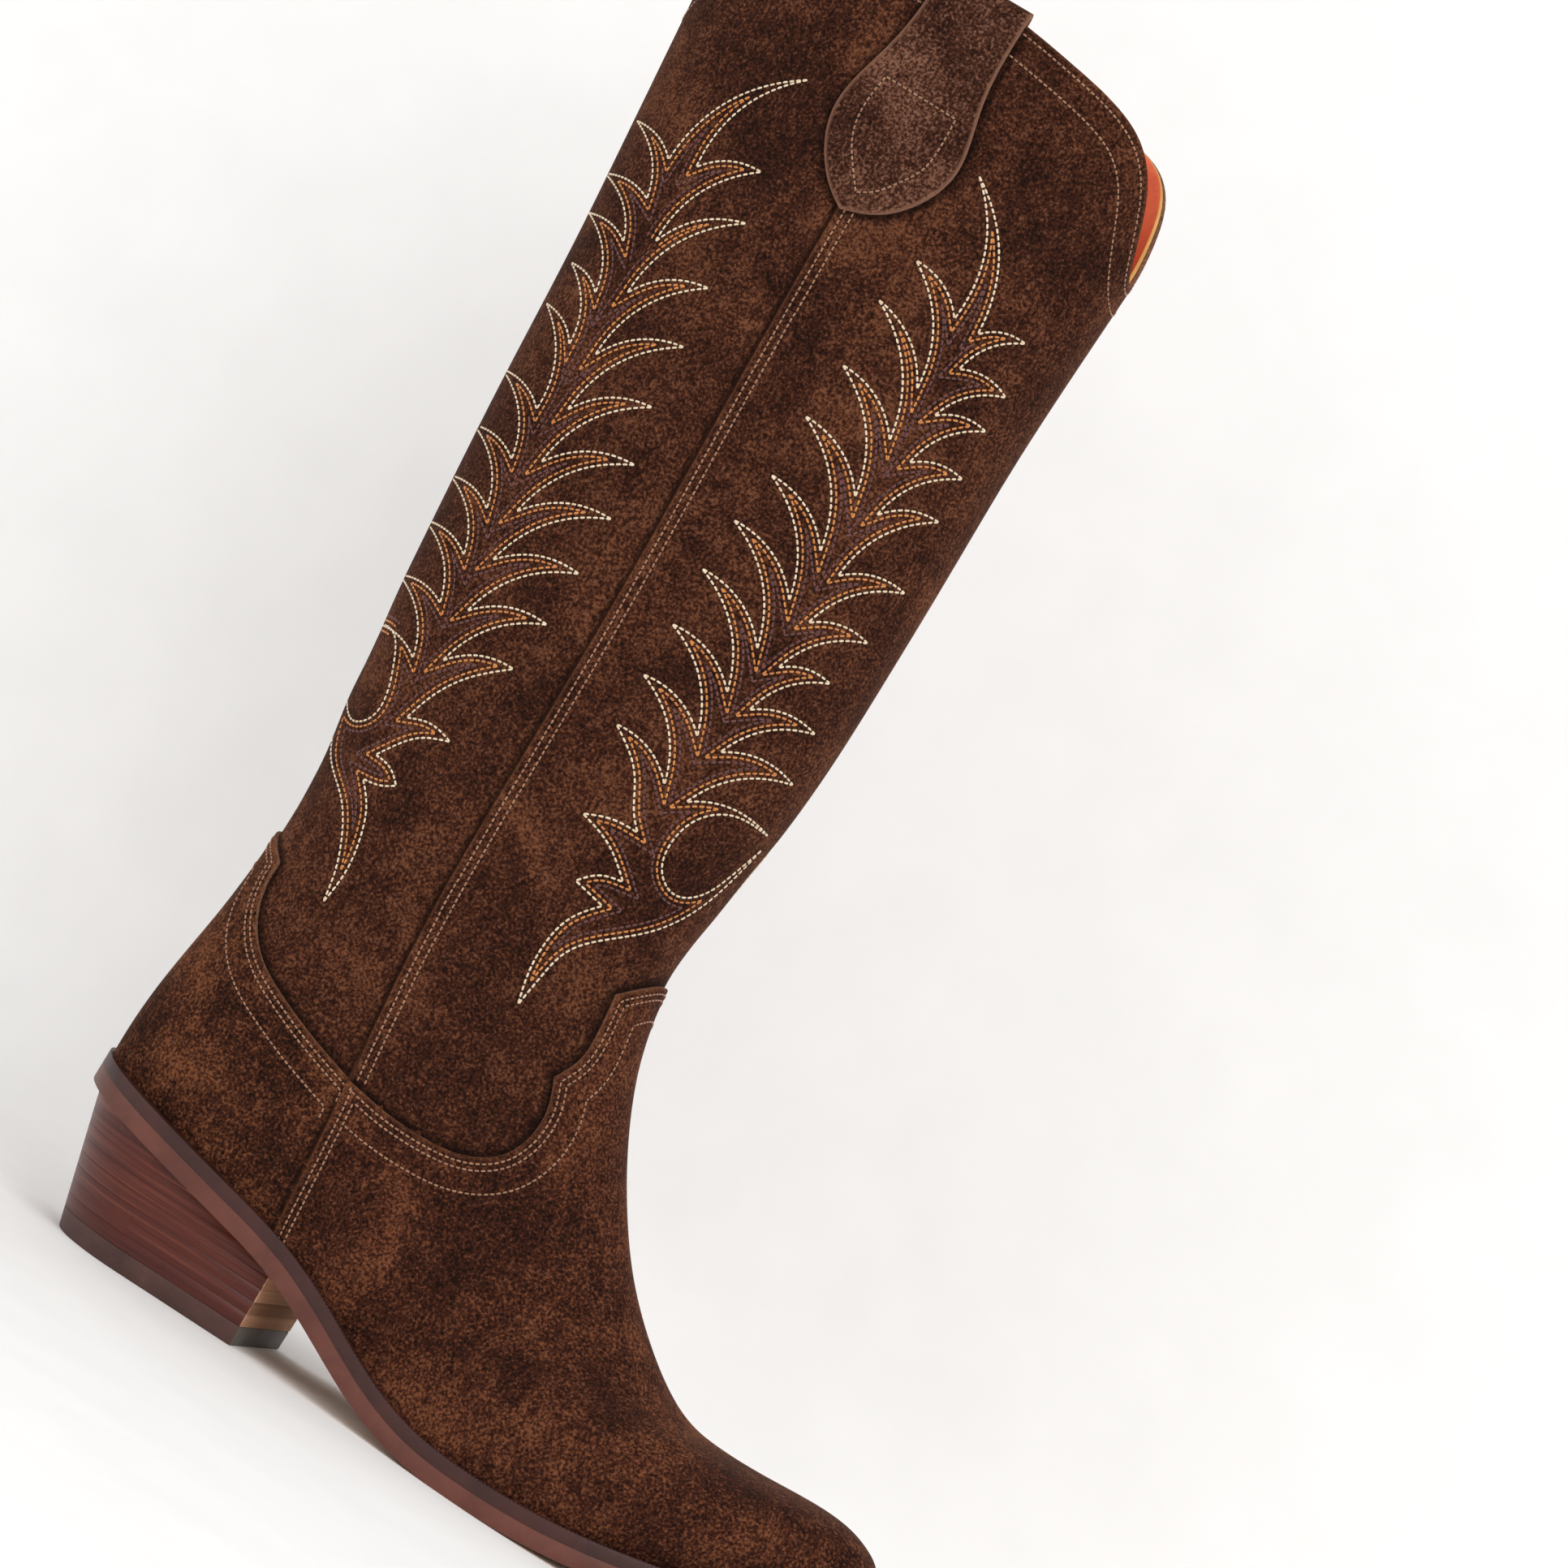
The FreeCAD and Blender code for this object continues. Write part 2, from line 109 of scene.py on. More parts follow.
RINGS = [
    Ring((-76.0, 486), (97.5, 486), 42.0, 42.0, 0.50, 2.1, 2.1),
    Ring((-68.0, 414), (95.0, 414), 42.0, 42.0, 0.50, 2.1, 2.1),
    Ring((-60.8, 343), (92.8, 343), 41.5, 41.5, 0.50, 2.1, 2.1),
    Ring((-55.8, 275), (93.6, 275), 41.0, 41.0, 0.50, 2.1, 2.1),
    Ring((-50.2, 220), (91.7, 220), 40.0, 40.0, 0.50, 2.1, 2.1),
    Ring((-44.2, 175), (86.0, 177), 38.0, 38.0, 0.50, 2.1, 2.1),
    Ring((-41.2, 142), (86.0, 147), 36.0, 36.0, 0.50, 2.2, 2.1),
    Ring((-43.4, 108), (96.6, 117), 34.5, 34.5, 0.46, 2.4, 2.1),
    Ring((-47.4, 80), (110.5, 94), 33.5, 33.0, 0.42, 2.6, 2.1),
    Ring((-48.6, 55), (127.5, 73.6), 32.2, 31.2, 0.40, 2.7, 2.2),
    Ring((-44.0, 32), (150.0, 56.0), 32.3, 31.0, 0.58, 2.2, 2.2),
    Ring((-5.0, 8), (172.0, 49.2), 37.2, 34.8, 0.66, 1.45, 2.2),
    Ring((52.0, -10), (192.0, 49.8), 40.4, 38.8, 0.50, 2.0, 2.3),
    Ring((108.0, -14), (207.0, 50.8), 40.5, 41.0, 0.44, 2.2, 2.3),
    Ring((150.0, -10), (218.5, 50.2), 32.4, 36.6, 0.44, 2.3, 2.3),
    Ring((184.0, -4), (227.0, 47.6), 22.8, 27.5, 0.46, 2.3, 2.3),
    Ring((208.0, 2), (232.0, 43.8), 17.3, 21.5, 0.46, 2.3, 2.3),
    Ring((223.0, 8), (234.6, 39.6), 13.2, 17.3, 0.48, 2.3, 2.3),
    Ring((230.5, 13), (235.8, 36.0), 10.4, 14.0, 0.50, 2.2, 2.2),
    Ring((234.5, 18), (236.6, 31.5), 6.0, 8.5, 0.50, 2.0, 2.0),
]
RING_POINTS = 20


def tone(red: float, green: float, blue: float) -> Colour:
    """A screen colour (0 to 255) as the linear colour that a shader takes.

    Args:
        red: red, 0 to 255.
        green: green, 0 to 255.
        blue: blue, 0 to 255.

    Returns:
        Linear red, green, blue and alpha.
    """
    def linear(value: float) -> float:
        """One channel made linear."""
        share = value / 255
        return share / 12.92 if share < 0.04045 else ((share + 0.055) / 1.055) ** 2.4

    return linear(red), linear(green), linear(blue), 1.0


class SmoothLine:
    """A cubic curve through points, with an even bend across each of them."""

    def __init__(self, points: np.ndarray, knots: np.ndarray, closed: bool = False) -> None:
        """Works out the bend at each point.

        Args:
            points: one row per point; a closed curve doesn't repeat its first.
            knots: the running value at each point; a closed curve has one more than it has points.
            closed: whether the curve comes back to its start.
        """
        if closed:
            points = np.concatenate([points, points[:1]])
        count = len(points)
        gap = np.diff(knots)
        slope = np.diff(points, axis=0) / gap[:, None]
        matrix = np.eye(count)
        right = np.zeros_like(points)
        for row in range(1, count - 1):
            matrix[row, row - 1:row + 2] = gap[row - 1], 2 * (gap[row - 1] + gap[row]), gap[row]
            right[row] = 6 * (slope[row] - slope[row - 1])
        if closed:
            matrix[0, -1] = -1
            matrix[-1, [0, 1]] = 2 * gap[0], gap[0]
            matrix[-1, [-2, -1]] = gap[-1], 2 * gap[-1]
            right[-1] = 6 * (slope[0] - slope[-1])
        self.points = points
        self.knots = knots
        self.bend = np.linalg.solve(matrix, right)

    def at(self, values: np.ndarray) -> np.ndarray:
        """The curve's points at running values.

        Args:
            values: running values, within the knots.

        Returns:
            One row per value.
        """
        span = np.clip(np.searchsorted(self.knots, values, side="right") - 1, 0, len(self.knots) - 2)
        gap = self.knots[span + 1] - self.knots[span]
        before = ((self.knots[span + 1] - values) / gap)[:, None]
        after = 1 - before
        bend = (before ** 3 - before) * self.bend[span] + (after ** 3 - after) * self.bend[span + 1]
        return before * self.points[span] + after * self.points[span + 1] + bend * (gap ** 2)[:, None] / 6


def drawn(points: Sequence[tuple[float, float]], step: float = 1.6, closed: bool = False) -> np.ndarray:
    """A smooth line through points in millimetres, as close points in metres.

    Args:
        points: the points that the line passes.
        step: distance between the points of the result, in millimetres.
        closed: whether the line comes back to its start.

    Returns:
        One row per point, in metres.
    """
    corners = np.array(points, float)
    ends = np.concatenate([corners, corners[:1]]) if closed else corners
    knots = np.concatenate([[0], np.cumsum(np.linalg.norm(np.diff(ends, axis=0), axis=1))])
    count = max(2, int(round(knots[-1] / step)) + 1)
    return SmoothLine(corners, knots, closed).at(np.linspace(0, knots[-1], count)) * MM


def resampled(points: np.ndarray, step: float) -> np.ndarray:
    """Points spread evenly along a polyline, its two ends kept.

    Args:
        points: the polyline, one row per point.
        step: wished distance between points.

    Returns:
        One row per point.
    """
    run = np.concatenate([[0], np.cumsum(np.linalg.norm(np.diff(points, axis=0), axis=1))])
    count = max(1, int(round(run[-1] / step)))
    wanted = np.linspace(0, run[-1], count + 1)
    return np.stack([np.interp(wanted, run, points[:, axis]) for axis in range(points.shape[1])], axis=1)


def away_from_line(points: np.ndarray, line: np.ndarray) -> np.ndarray:
    """Distance from each point to a polyline, both in the plane.

    Args:
        points: one row of two numbers per point.
        line: the polyline, one row of two numbers per point.

    Returns:
        One distance per point.
    """
    best = np.full(len(points), np.inf)
    for start, end in zip(line, line[1:]):
        along = end - start
        share = np.clip((points - start) @ along / max(along @ along, 1e-18), 0, 1)
        best = np.minimum(best, np.linalg.norm(points - start - share[:, None] * along, axis=1))
    return best


def inside(points: np.ndarray, outline: np.ndarray) -> np.ndarray:
    """Which points are inside a closed outline, all in the plane.

    Args:
        points: one row of two numbers per point.
        outline: the closed outline, its first point not repeated.

    Returns:
        One truth value per point.
    """
    result = np.zeros(len(points), bool)
    for start, end in zip(outline, np.roll(outline, -1, axis=0)):
        spans = (start[1] > points[:, 1]) != (end[1] > points[:, 1])
        rise = end[1] - start[1] if end[1] != start[1] else 1e-18
        crossing = start[0] + (points[:, 1] - start[1]) * (end[0] - start[0]) / rise
        result ^= spans & (points[:, 0] < crossing)
    return result


def raised(line: np.ndarray, height: float) -> np.ndarray:
    """A side-view line moved square to itself by height."""
    along = np.gradient(line, axis=0)
    along /= np.linalg.norm(along, axis=1)[:, None]
    return line + np.stack([-along[:, 1], along[:, 0]], axis=1) * height


def run_back(line: np.ndarray, length: float) -> np.ndarray:
    """A line made longer at its start, straight on."""
    way = line[0] - line[3]
    return np.concatenate([[line[0] + way / np.linalg.norm(way) * length], line])


FEATHER = raised(drawn(TREAD), OUTSOLE + 0.6 * MM)
VAMP_EDGE = np.concatenate([drawn(VAMP_SCOOP), drawn(VAMP_WING)[1:], drawn(VAMP_TIP)[1:]])
COUNTER_EDGE = np.concatenate([drawn(COUNTER_SCOOP), drawn(COUNTER_TIP)[1:]])
TOP_EDGE = drawn(TOPLINE)
SEAM_EDGE = drawn(SIDE_SEAM)
VAMP_HIDDEN = VAMP_EDGE + np.array([UNDERLAP, -UNDERLAP])
COUNTER_HIDDEN = COUNTER_EDGE + np.array([-BACK_UNDERLAP, -BACK_UNDERLAP])
BEYOND = 0.3


@dataclass(frozen=True)
class Sight:
    """Where the flames' drawing is laid on the shaft from: far off, and turned ahead of the side."""

    turn: float = math.radians(13)
    distance: float = 1.77
    middle_x: float = 84 * MM
    middle_z: float = 230 * MM

    def ray(self, x: float, z: float, sign: int) -> tuple[Vector, Vector]:
        """The line of sight through a point of the drawing.

        Args:
            x: the point's place across the drawing.
            z: its height.
            sign: -1 for the outer side, 1 for the inner side.

        Returns:
            The eye and the direction.
        """
        middle = Vector((self.middle_x, 0, self.middle_z))
        eye = middle + Vector((math.sin(self.turn), sign * math.cos(self.turn), 0)) * self.distance
        right = Vector((math.cos(self.turn), -sign * math.sin(self.turn), 0))
        point = middle + right * (x - self.middle_x) + Vector((0, 0, z - self.middle_z))
        return eye, (point - eye).normalized()


def region(*corners: Sequence[float] | np.ndarray) -> np.ndarray:
    """A closed side-view outline from lines and single points, in order."""
    return np.concatenate([np.atleast_2d(np.array(part, float)) for part in corners])


def seam_between(low: float, high: float) -> np.ndarray:
    """The part of the side seam between two heights, from the top down."""
    return SEAM_EDGE[(SEAM_EDGE[:, 1] < high) & (SEAM_EDGE[:, 1] > low)]


class Skin:
    """The outside of the shaft leather as one surface, from which every upper piece is cut."""

    COLUMNS = 176
    SHAFT_ROWS = 170
    FOOT_ROWS = 190
    SHAFT_RUN = 0.343
    WHOLE_RUN = 0.6355
    CAP_SHARES = (0.85, 0.6, 0.3, 0.08)
    CAP_DEPTH = 0.0006
    TIP_BELOW = 0.2
    WAVE_BOTTOM, WAVE_RISE = 0.05, 0.06
    WAVE_TOP, WAVE_FALL, WAVE_LEAST = 0.44, 0.04, 0.25
    ANKLE_Z, ANKLE_REACH = 0.165, 0.045
    BROAD_WAVE = 0.0006
    ANKLE_CREASE = 0.0007
    LINE_STEP = 0.4 * MM

    def __init__(self) -> None:
        """Builds the surface once and keeps it as a mesh to copy."""
        self.mesh = bpy.data.meshes.new("skin")
        columns, rows = self.places()
        grid = np.concatenate([self.sections(columns, rows), self.toe_cap(columns, rows)])
        bm = sheet_of(grid, len(columns), closed=True)
        bmesh.ops.remove_doubles(bm, verts=bm.verts, dist=1e-6)
        tip = [edge for edge in bm.edges if edge.is_boundary and edge.verts[0].co.z < self.TIP_BELOW]
        bmesh.ops.edgeloop_fill(bm, edges=tip)
        bmesh.ops.recalc_face_normals(bm, faces=bm.faces)
        face = max(bm.faces, key=lambda one: one.calc_center_median().y)
        if face.normal.y < 0:
            bmesh.ops.reverse_faces(bm, faces=bm.faces)
        bm.normal_update()
        self.settle(bm)
        bm.to_mesh(self.mesh)
        self.tree = BVHTree.FromBMesh(bm)
        bm.free()

    @staticmethod
    def places() -> tuple[np.ndarray, np.ndarray]:
        """Where the grid's columns and rows stand on the rings.

        Returns:
            Running values around a ring, and running distances along the boot.
        """
        columns = np.linspace(0, RING_POINTS, Skin.COLUMNS, endpoint=False)
        shaft = np.linspace(0, Skin.SHAFT_RUN, Skin.SHAFT_ROWS, endpoint=False)
        foot = np.linspace(Skin.SHAFT_RUN, Skin.WHOLE_RUN, Skin.FOOT_ROWS)
        return columns, np.concatenate([shaft, foot])

    @staticmethod
    def sections(columns: np.ndarray, rows: np.ndarray) -> np.ndarray:
        """The grid's points, through all the rings.

        Args:
            columns: running values around a ring.
            rows: running distances along the boot, in metres.

        Returns:
            An array of rows, columns and three coordinates.
        """
        loops = []
        centres = []
        for ring in RINGS:
            back = np.array([ring.back[0], 0, ring.back[1]], float)
            front = np.array([ring.front[0], 0, ring.front[1]], float)
            points = []
            for index in range(RING_POINTS):
                angle = 2 * math.pi * index / RING_POINTS
                power, reach = ring.back_power, ring.peak
                if math.cos(angle) > 0:
                    power, reach = ring.front_power, 1 - ring.peak
                run = math.copysign(abs(math.cos(angle)) ** (2 / power), math.cos(angle))
                rise = math.copysign(abs(math.sin(angle)) ** (2 / power), math.sin(angle))
                width = ring.lateral if rise > 0 else ring.medial
                along = back + (front - back) * (ring.peak + reach * run)
                points.append(along - np.array([0, width * rise, 0]))
            loop = SmoothLine(np.array(points) * MM, np.arange(RING_POINTS + 1.0), closed=True)
            loops.append(loop.at(columns))
            centres.append((back + front) / 2 * MM)
        steps = np.linalg.norm(np.diff(np.array(centres), axis=0), axis=1)
        stations = np.concatenate([[0], np.cumsum(steps)])
        table = np.array(loops)
        along = SmoothLine(table.reshape(len(RINGS), -1), stations)
        return along.at(np.minimum(rows, stations[-1])).reshape(len(rows), len(columns), 3)

    def toe_cap(self, columns: np.ndarray, rows: np.ndarray) -> np.ndarray:
        """Rows that round the toe off in front of the last ring."""
        last = self.sections(columns, rows[-1:])[0]
        centre = last.mean(axis=0)
        forwards = np.array([self.CAP_DEPTH, 0, 0])
        return np.array([centre + (last - centre) * share + forwards * (1 - share ** 2)
                         for share in self.CAP_SHARES])

    def settle(self, bm: bmesh.types.BMesh) -> None:
        """Gives the leather the shallow waves of a worn shaft, fading out towards the sole."""
        for vert in bm.verts:
            x, y, z = vert.co
            fade = min(1.0, max(0.0, (z - self.WAVE_BOTTOM) / self.WAVE_RISE))
            fade *= min(1.0, max(self.WAVE_LEAST, (self.WAVE_TOP - z) / self.WAVE_FALL))
            ankle = math.exp(-((z - self.ANKLE_Z) / self.ANKLE_REACH) ** 2)
            broad = noise.noise(Vector((x * 11, y * 11, z * 14 + 3)))
            crease = noise.noise(Vector((x * 16 + 5, y * 16, z * 46)))
            rise = self.BROAD_WAVE * broad + self.ANKLE_CREASE * ankle * crease
            vert.co += vert.normal * (fade * rise)

    def side_point(self, x: float, z: float, sign: float) -> tuple[Vector, Vector] | None:
        """The surface point and normal that a side view shows at X and Z.

        Args:
            x: the place along the foot.
            z: the height.
            sign: -1 for the outer side, 1 for the inner side.

        Returns:
            The point and the outward normal, or None where the view misses the boot.
        """
        hit, normal, _, _ = self.tree.ray_cast(Vector((x, sign * VIEW_FROM, z)), Vector((0, -sign, 0)))
        return (hit, normal) if hit else None

    def on_side(self, line: np.ndarray, sign: int) -> np.ndarray:
        """The surface points of a side-view line on one side."""
        hits = [self.side_point(x, z, sign) for x, z in resampled(line, self.LINE_STEP)]
        return np.array([hit[0] for hit in hits if hit])

    def around(self, line: np.ndarray) -> np.ndarray:
        """A side-view line on both sides, joined where its last end leaves the boot."""
        return np.concatenate([self.on_side(line, -1), self.on_side(line, 1)[::-1]])


class Slot(Enum):
    """The record's material slots, which pieces keep as a label beside the finishes that they are given."""

    SUEDE = "suede_upper"
    LINING = "lining_leather"
    WELT = "welt_leather"
    SOLE = "sole_leather"
    TOP_LIFT = "top_lift_rubber"
    STACK = "heel_stack"


def make_piece(name: str, mesh: bpy.types.Mesh, materials: Sequence[bpy.types.Material],
               replaces: Sequence[str] = ()) -> bpy.types.Object:
    """Puts a finished mesh into the scene as a piece of the boot.

    Args:
        name: the piece's name.
        mesh: its mesh, in place.
        materials: what its faces' material numbers mean.
        replaces: the CAD nodes that it stands for.

    Returns:
        The new object.
    """
    piece = bpy.data.objects.new(name, mesh)
    bpy.context.scene.collection.objects.link(piece)
    for material in materials:
        mesh.materials.append(material)
    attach(piece, BODY)
    if replaces:
        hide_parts(*replaces)
    LOG.info("%s: %d faces", name, len(mesh.polygons))
    return piece


def nearest_of(points: Sequence[Vector] | np.ndarray) -> KDTree:
    """A tree that finds the nearest of many points."""
    tree = KDTree(len(points))
    for index, point in enumerate(points):
        tree.insert(point, index)
    tree.balance()
    return tree


def side_view(places: Sequence[Vector]) -> np.ndarray:
    """The X and Z of many places."""
    return np.array(places)[:, [0, 2]]


def middles(faces: Sequence[bmesh.types.BMFace]) -> np.ndarray:
    """The X and Z of the middles of many faces."""
    return side_view([face.calc_center_median() for face in faces])


def sheet_of(rows: Sequence[Sequence[Vector]] | np.ndarray, wide: int, closed: bool) -> bmesh.types.BMesh:
    """A grid of faces through rows of points.

    Args:
        rows: the rows, each with its points in order.
        wide: how many faces there are across a row.
        closed: whether each row runs round to its start.

    Returns:
        The working mesh.
    """
    tall = len(rows) - 1
    bm = bmesh.new()
    bmesh.ops.create_grid(bm, x_segments=wide, y_segments=tall, size=1)
    for vert in bm.verts:
        column = int(round((vert.co.x + 1) / 2 * wide))
        row = int(round((vert.co.y + 1) / 2 * tall))
        vert.co = rows[row][column % wide if closed else column]
    return bm


def finished_mesh(bm: bmesh.types.BMesh, name: str) -> bpy.types.Mesh:
    """A smooth-shaded mesh from a working one, which is freed."""
    for face in bm.faces:
        face.smooth = True
    mesh = bpy.data.meshes.new(name)
    bm.to_mesh(mesh)
    bm.free()
    return mesh


def thicken(piece: bpy.types.Object, thickness: float, offset: float, rounding: float, clamp: bool) -> None:
    """Gives a sheet its thickness and rounds its cut edges.

    Args:
        piece: the sheet.
        thickness: its thickness.
        offset: -1 to grow inwards from the sheet, 0 to grow both ways.
        rounding: the width of the rounding.
        clamp: whether the rounding shrinks where there is no room for it.
    """
    wall = piece.modifiers.new("thickness", "SOLIDIFY")
    wall.thickness = thickness
    wall.offset = offset
    wall.use_even_offset = False
    wall.material_offset_rim = 1
    rim = piece.modifiers.new("soft edge", "BEVEL")
    rim.width = rounding
    rim.segments = 2
    rim.limit_method = "ANGLE"
    rim.angle_limit = math.radians(CUT_EDGE_ANGLE)
    rim.use_clamp_overlap = clamp


def stretches(points: np.ndarray, kept: Sequence[bool], gap: float = 4 * MM) -> list[np.ndarray]:
    """The unbroken stretches of a run that are left when some of its points are dropped.

    Args:
        points: the run's points.
        kept: which of them stay.
        gap: the shortest break that splits the run.

    Returns:
        The stretches, in order.
    """
    found: list[list[np.ndarray]] = []
    for point in points[np.array(kept, bool)]:
        if found and np.linalg.norm(point - found[-1][-1]) < gap:
            found[-1].append(point)
        else:
            found.append([point])
    return [np.array(run) for run in found if len(run) >= SHORTEST_RUN]


@dataclass
class Panel:
    """One leather piece of the upper, cut from the skin along its pattern lines."""

    name: str
    nodes: tuple[str, ...]
    skin: Skin
    outline: np.ndarray
    cuts: list[np.ndarray]
    outer: float
    thickness: float
    slot: Slot
    materials: list[bpy.types.Material]
    lift: float = 0.0
    lift_line: np.ndarray | None = None
    lift_from: float = -1.0
    # Lines of the pieces that lie over this one; the suede finish paints shade beside them.
    lapped_by: list[np.ndarray] = field(default_factory=list)
    tree: BVHTree = field(init=False)

    FIRST_MARGIN = 5 * MM
    FACE_REACH = 1.7 * MM
    LINE_REACH = 3 * FACE_REACH
    CUT_SNAP = 0.03 * MM
    WELD = 0.12 * MM
    SLIVER = 0.02 * MM
    CRUMB_FACES = 60
    LIFT_REACH = 4.5 * MM
    LIFT_FADE = 14 * MM
    TRUE_NORMAL = 0.985
    EDGE_ROUNDING = 0.22 * MM
    EDGE_STEP = 0.5 * MM
    ROW_STEP = 0.8 * MM
    ROW_STRIDE = 2 * MM
    ROW_CLEARANCE = 0.95
    VOTE_REACH = 1.5 * MM
    FAR = 1.0

    def build(self) -> bpy.types.Object:
        """Cuts the piece, raises its lapped edge and gives it its thickness.

        Returns:
            The finished piece.
        """
        bm = bmesh.new()
        bm.from_mesh(self.skin.mesh)
        self.crop(bm, self.FIRST_MARGIN)
        for line in self.cuts:
            self.cut(bm, line)
        self.crop(bm, 0.0)
        bmesh.ops.remove_doubles(bm, verts=bm.verts, dist=self.WELD)
        bmesh.ops.dissolve_degenerate(bm, edges=bm.edges, dist=self.SLIVER)
        self.drop_scraps(bm)
        bm.normal_update()
        self.raise_face(bm)
        bm.normal_update()
        self.tree = BVHTree.FromBMesh(bm)
        self.mark_edges(bm)
        self.mark_laps(bm)
        mesh = finished_mesh(bm, self.name)
        piece = make_piece(self.name, mesh, self.materials, self.nodes)
        thicken(piece, self.thickness, -1, self.EDGE_ROUNDING, clamp=False)
        return piece

    def crop(self, bm: bmesh.types.BMesh, margin: float) -> None:
        """Removes the faces outside the outline, and farther from it than margin."""
        faces = list(bm.faces)
        centres = middles(faces)
        keep = inside(centres, self.outline)
        if margin:
            closed = np.concatenate([self.outline, self.outline[:1]])
            keep |= away_from_line(centres, closed) < margin
        unwanted = [face for face, wanted in zip(faces, keep) if not wanted]
        bmesh.ops.delete(bm, geom=unwanted, context="FACES")

    def cut(self, bm: bmesh.types.BMesh, line: np.ndarray) -> None:
        """Cuts the faces that a side-view line crosses, along the line."""
        faces = list(bm.faces)
        gaps = away_from_line(middles(faces), line)
        near = {face for face, gap in zip(faces, gaps) if gap < self.LINE_REACH}
        for start, end in zip(line, line[1:]):
            close = [face for face in near if face.is_valid]
            if not close:
                return
            gaps = away_from_line(middles(close), np.array([start, end]))
            crossed = [face for face, gap in zip(close, gaps) if gap < self.FACE_REACH]
            if not crossed:
                continue
            edges = {edge for face in crossed for edge in face.edges}
            verts = {vert for face in crossed for vert in face.verts}
            along = end - start
            made = bmesh.ops.bisect_plane(
                bm, geom=[*verts, *edges, *crossed], dist=self.CUT_SNAP,
                plane_co=(start[0], 0, start[1]), plane_no=Vector((-along[1], 0, along[0])).normalized())
            near.update(item for item in made["geom"] if isinstance(item, bmesh.types.BMFace))

    @staticmethod
    def drop_scraps(bm: bmesh.types.BMesh) -> None:
        """Deletes the small loose crumbs that the cutting left."""
        unseen = set(bm.faces)
        sheets = []
        while unseen:
            queue = [unseen.pop()]
            sheet = []
            while queue:
                face = queue.pop()
                sheet.append(face)
                for edge in face.edges:
                    for other in edge.link_faces:
                        if other in unseen:
                            unseen.remove(other)
                            queue.append(other)
            sheets.append(sheet)
        sheets.sort(key=len)
        crumbs = [face for sheet in sheets[:-1] if len(sheet) < Panel.CRUMB_FACES for face in sheet]
        bmesh.ops.delete(bm, geom=crumbs, context="FACES")

    def raise_face(self, bm: bmesh.types.BMesh) -> None:
        """Moves the sheet to its outer face, with more height where it laps its neighbour."""
        verts = list(bm.verts)
        height = np.full(len(verts), self.outer)
        if self.lift_line is not None:
            places = side_view([vert.co for vert in verts])
            gaps = away_from_line(places, self.lift_line)
            fade = np.clip((places[:, 1] - self.lift_from) / self.LIFT_FADE, 0, 1)
            height += self.lift * fade * np.exp(-(gaps / self.LIFT_REACH) ** 2)
        moves = []
        for vert, rise in zip(verts, height):
            plain = self.skin.tree.find_nearest(vert.co)[1]
            moves.append((vert.normal if vert.normal.dot(plain) > self.TRUE_NORMAL else plain) * rise)
        for vert, move in zip(verts, moves):
            vert.co += move

    def mark_edges(self, bm: bmesh.types.BMesh) -> None:
        """Stores each point's distance to the nearest open edge, for wear and rolled edges."""
        layer = bm.verts.layers.float.new("edge_gap")
        points: list[Vector] = []
        for edge in bm.edges:
            if edge.is_boundary:
                start, end = (vert.co for vert in edge.verts)
                count = max(1, int(math.ceil((end - start).length / self.EDGE_STEP)))
                points += [start.lerp(end, step / count) for step in range(count + 1)]
        tree = nearest_of(points)
        for vert in bm.verts:
            vert[layer] = tree.find(vert.co)[2]

    def mark_laps(self, bm: bmesh.types.BMesh) -> None:
        """Stores each point's distance to the pieces that lie over this one, for the painted shade beside
        them.
        """
        layer = bm.verts.layers.float.new("lap_gap")
        verts = list(bm.verts)
        places = side_view([vert.co for vert in verts])
        gaps = np.full(len(verts), self.FAR)
        for line in self.lapped_by:
            gaps = np.minimum(gaps, away_from_line(places, line))
        for vert, gap in zip(verts, gaps):
            vert[layer] = gap

    def row_inside(self, run: np.ndarray, width: float, clear_of: np.ndarray | None = None,
                   clearance: float = 0.0) -> list[np.ndarray]:
        """A run of edge moved into the piece, on its outer face.

        Args:
            run: points along the edge.
            width: how far to move them.
            clear_of: points of another edge that the row stops short of.
            clearance: how far short of it.

        Returns:
            The moved points, in unbroken stretches.
        """
        points = resampled(run, self.ROW_STEP)
        for _ in range(2):
            points[1:-1] = (points[:-2] + 2 * points[1:-1] + points[2:]) / 4
        ways = np.gradient(points, axis=0)
        moved = []
        steps = max(1, int(math.ceil(width / self.ROW_STRIDE)))
        sign = self.inward_sign(points, ways)
        for point, way in zip(points, ways):
            here = Vector(point)
            normal = self.skin.tree.find_nearest(here)[1]
            across = (normal.cross(Vector(way)) * sign).normalized()
            for _ in range(steps):
                here = self.tree.find_nearest(here + across * (width / steps))[0]
                normal = self.skin.tree.find_nearest(here)[1]
                across = (across - normal * across.dot(normal)).normalized()
            moved.append(here)
        edge = nearest_of(resampled(run, 0.3 * MM))
        clear = [edge.find(point)[2] > self.ROW_CLEARANCE * width for point in moved]
        if clear_of is not None:
            other = nearest_of(clear_of)
            clear = [kept and other.find(point)[2] > clearance for kept, point in zip(clear, moved)]
        return stretches(np.array(moved), clear)

    def inward_sign(self, points: np.ndarray, ways: np.ndarray) -> float:
        """Which side of an edge the piece lies on: 1 left of the run, seen from outside, or -1."""
        votes = 0.0
        for index in range(2, len(points) - 2, 5):
            here = Vector(points[index])
            normal = self.skin.tree.find_nearest(here)[1]
            across = normal.cross(Vector(ways[index])).normalized() * self.VOTE_REACH
            left = self.tree.find_nearest(here + across)[3]
            right = self.tree.find_nearest(here - across)[3]
            votes += 1 if left < right else -1
        return math.copysign(1.0, votes)


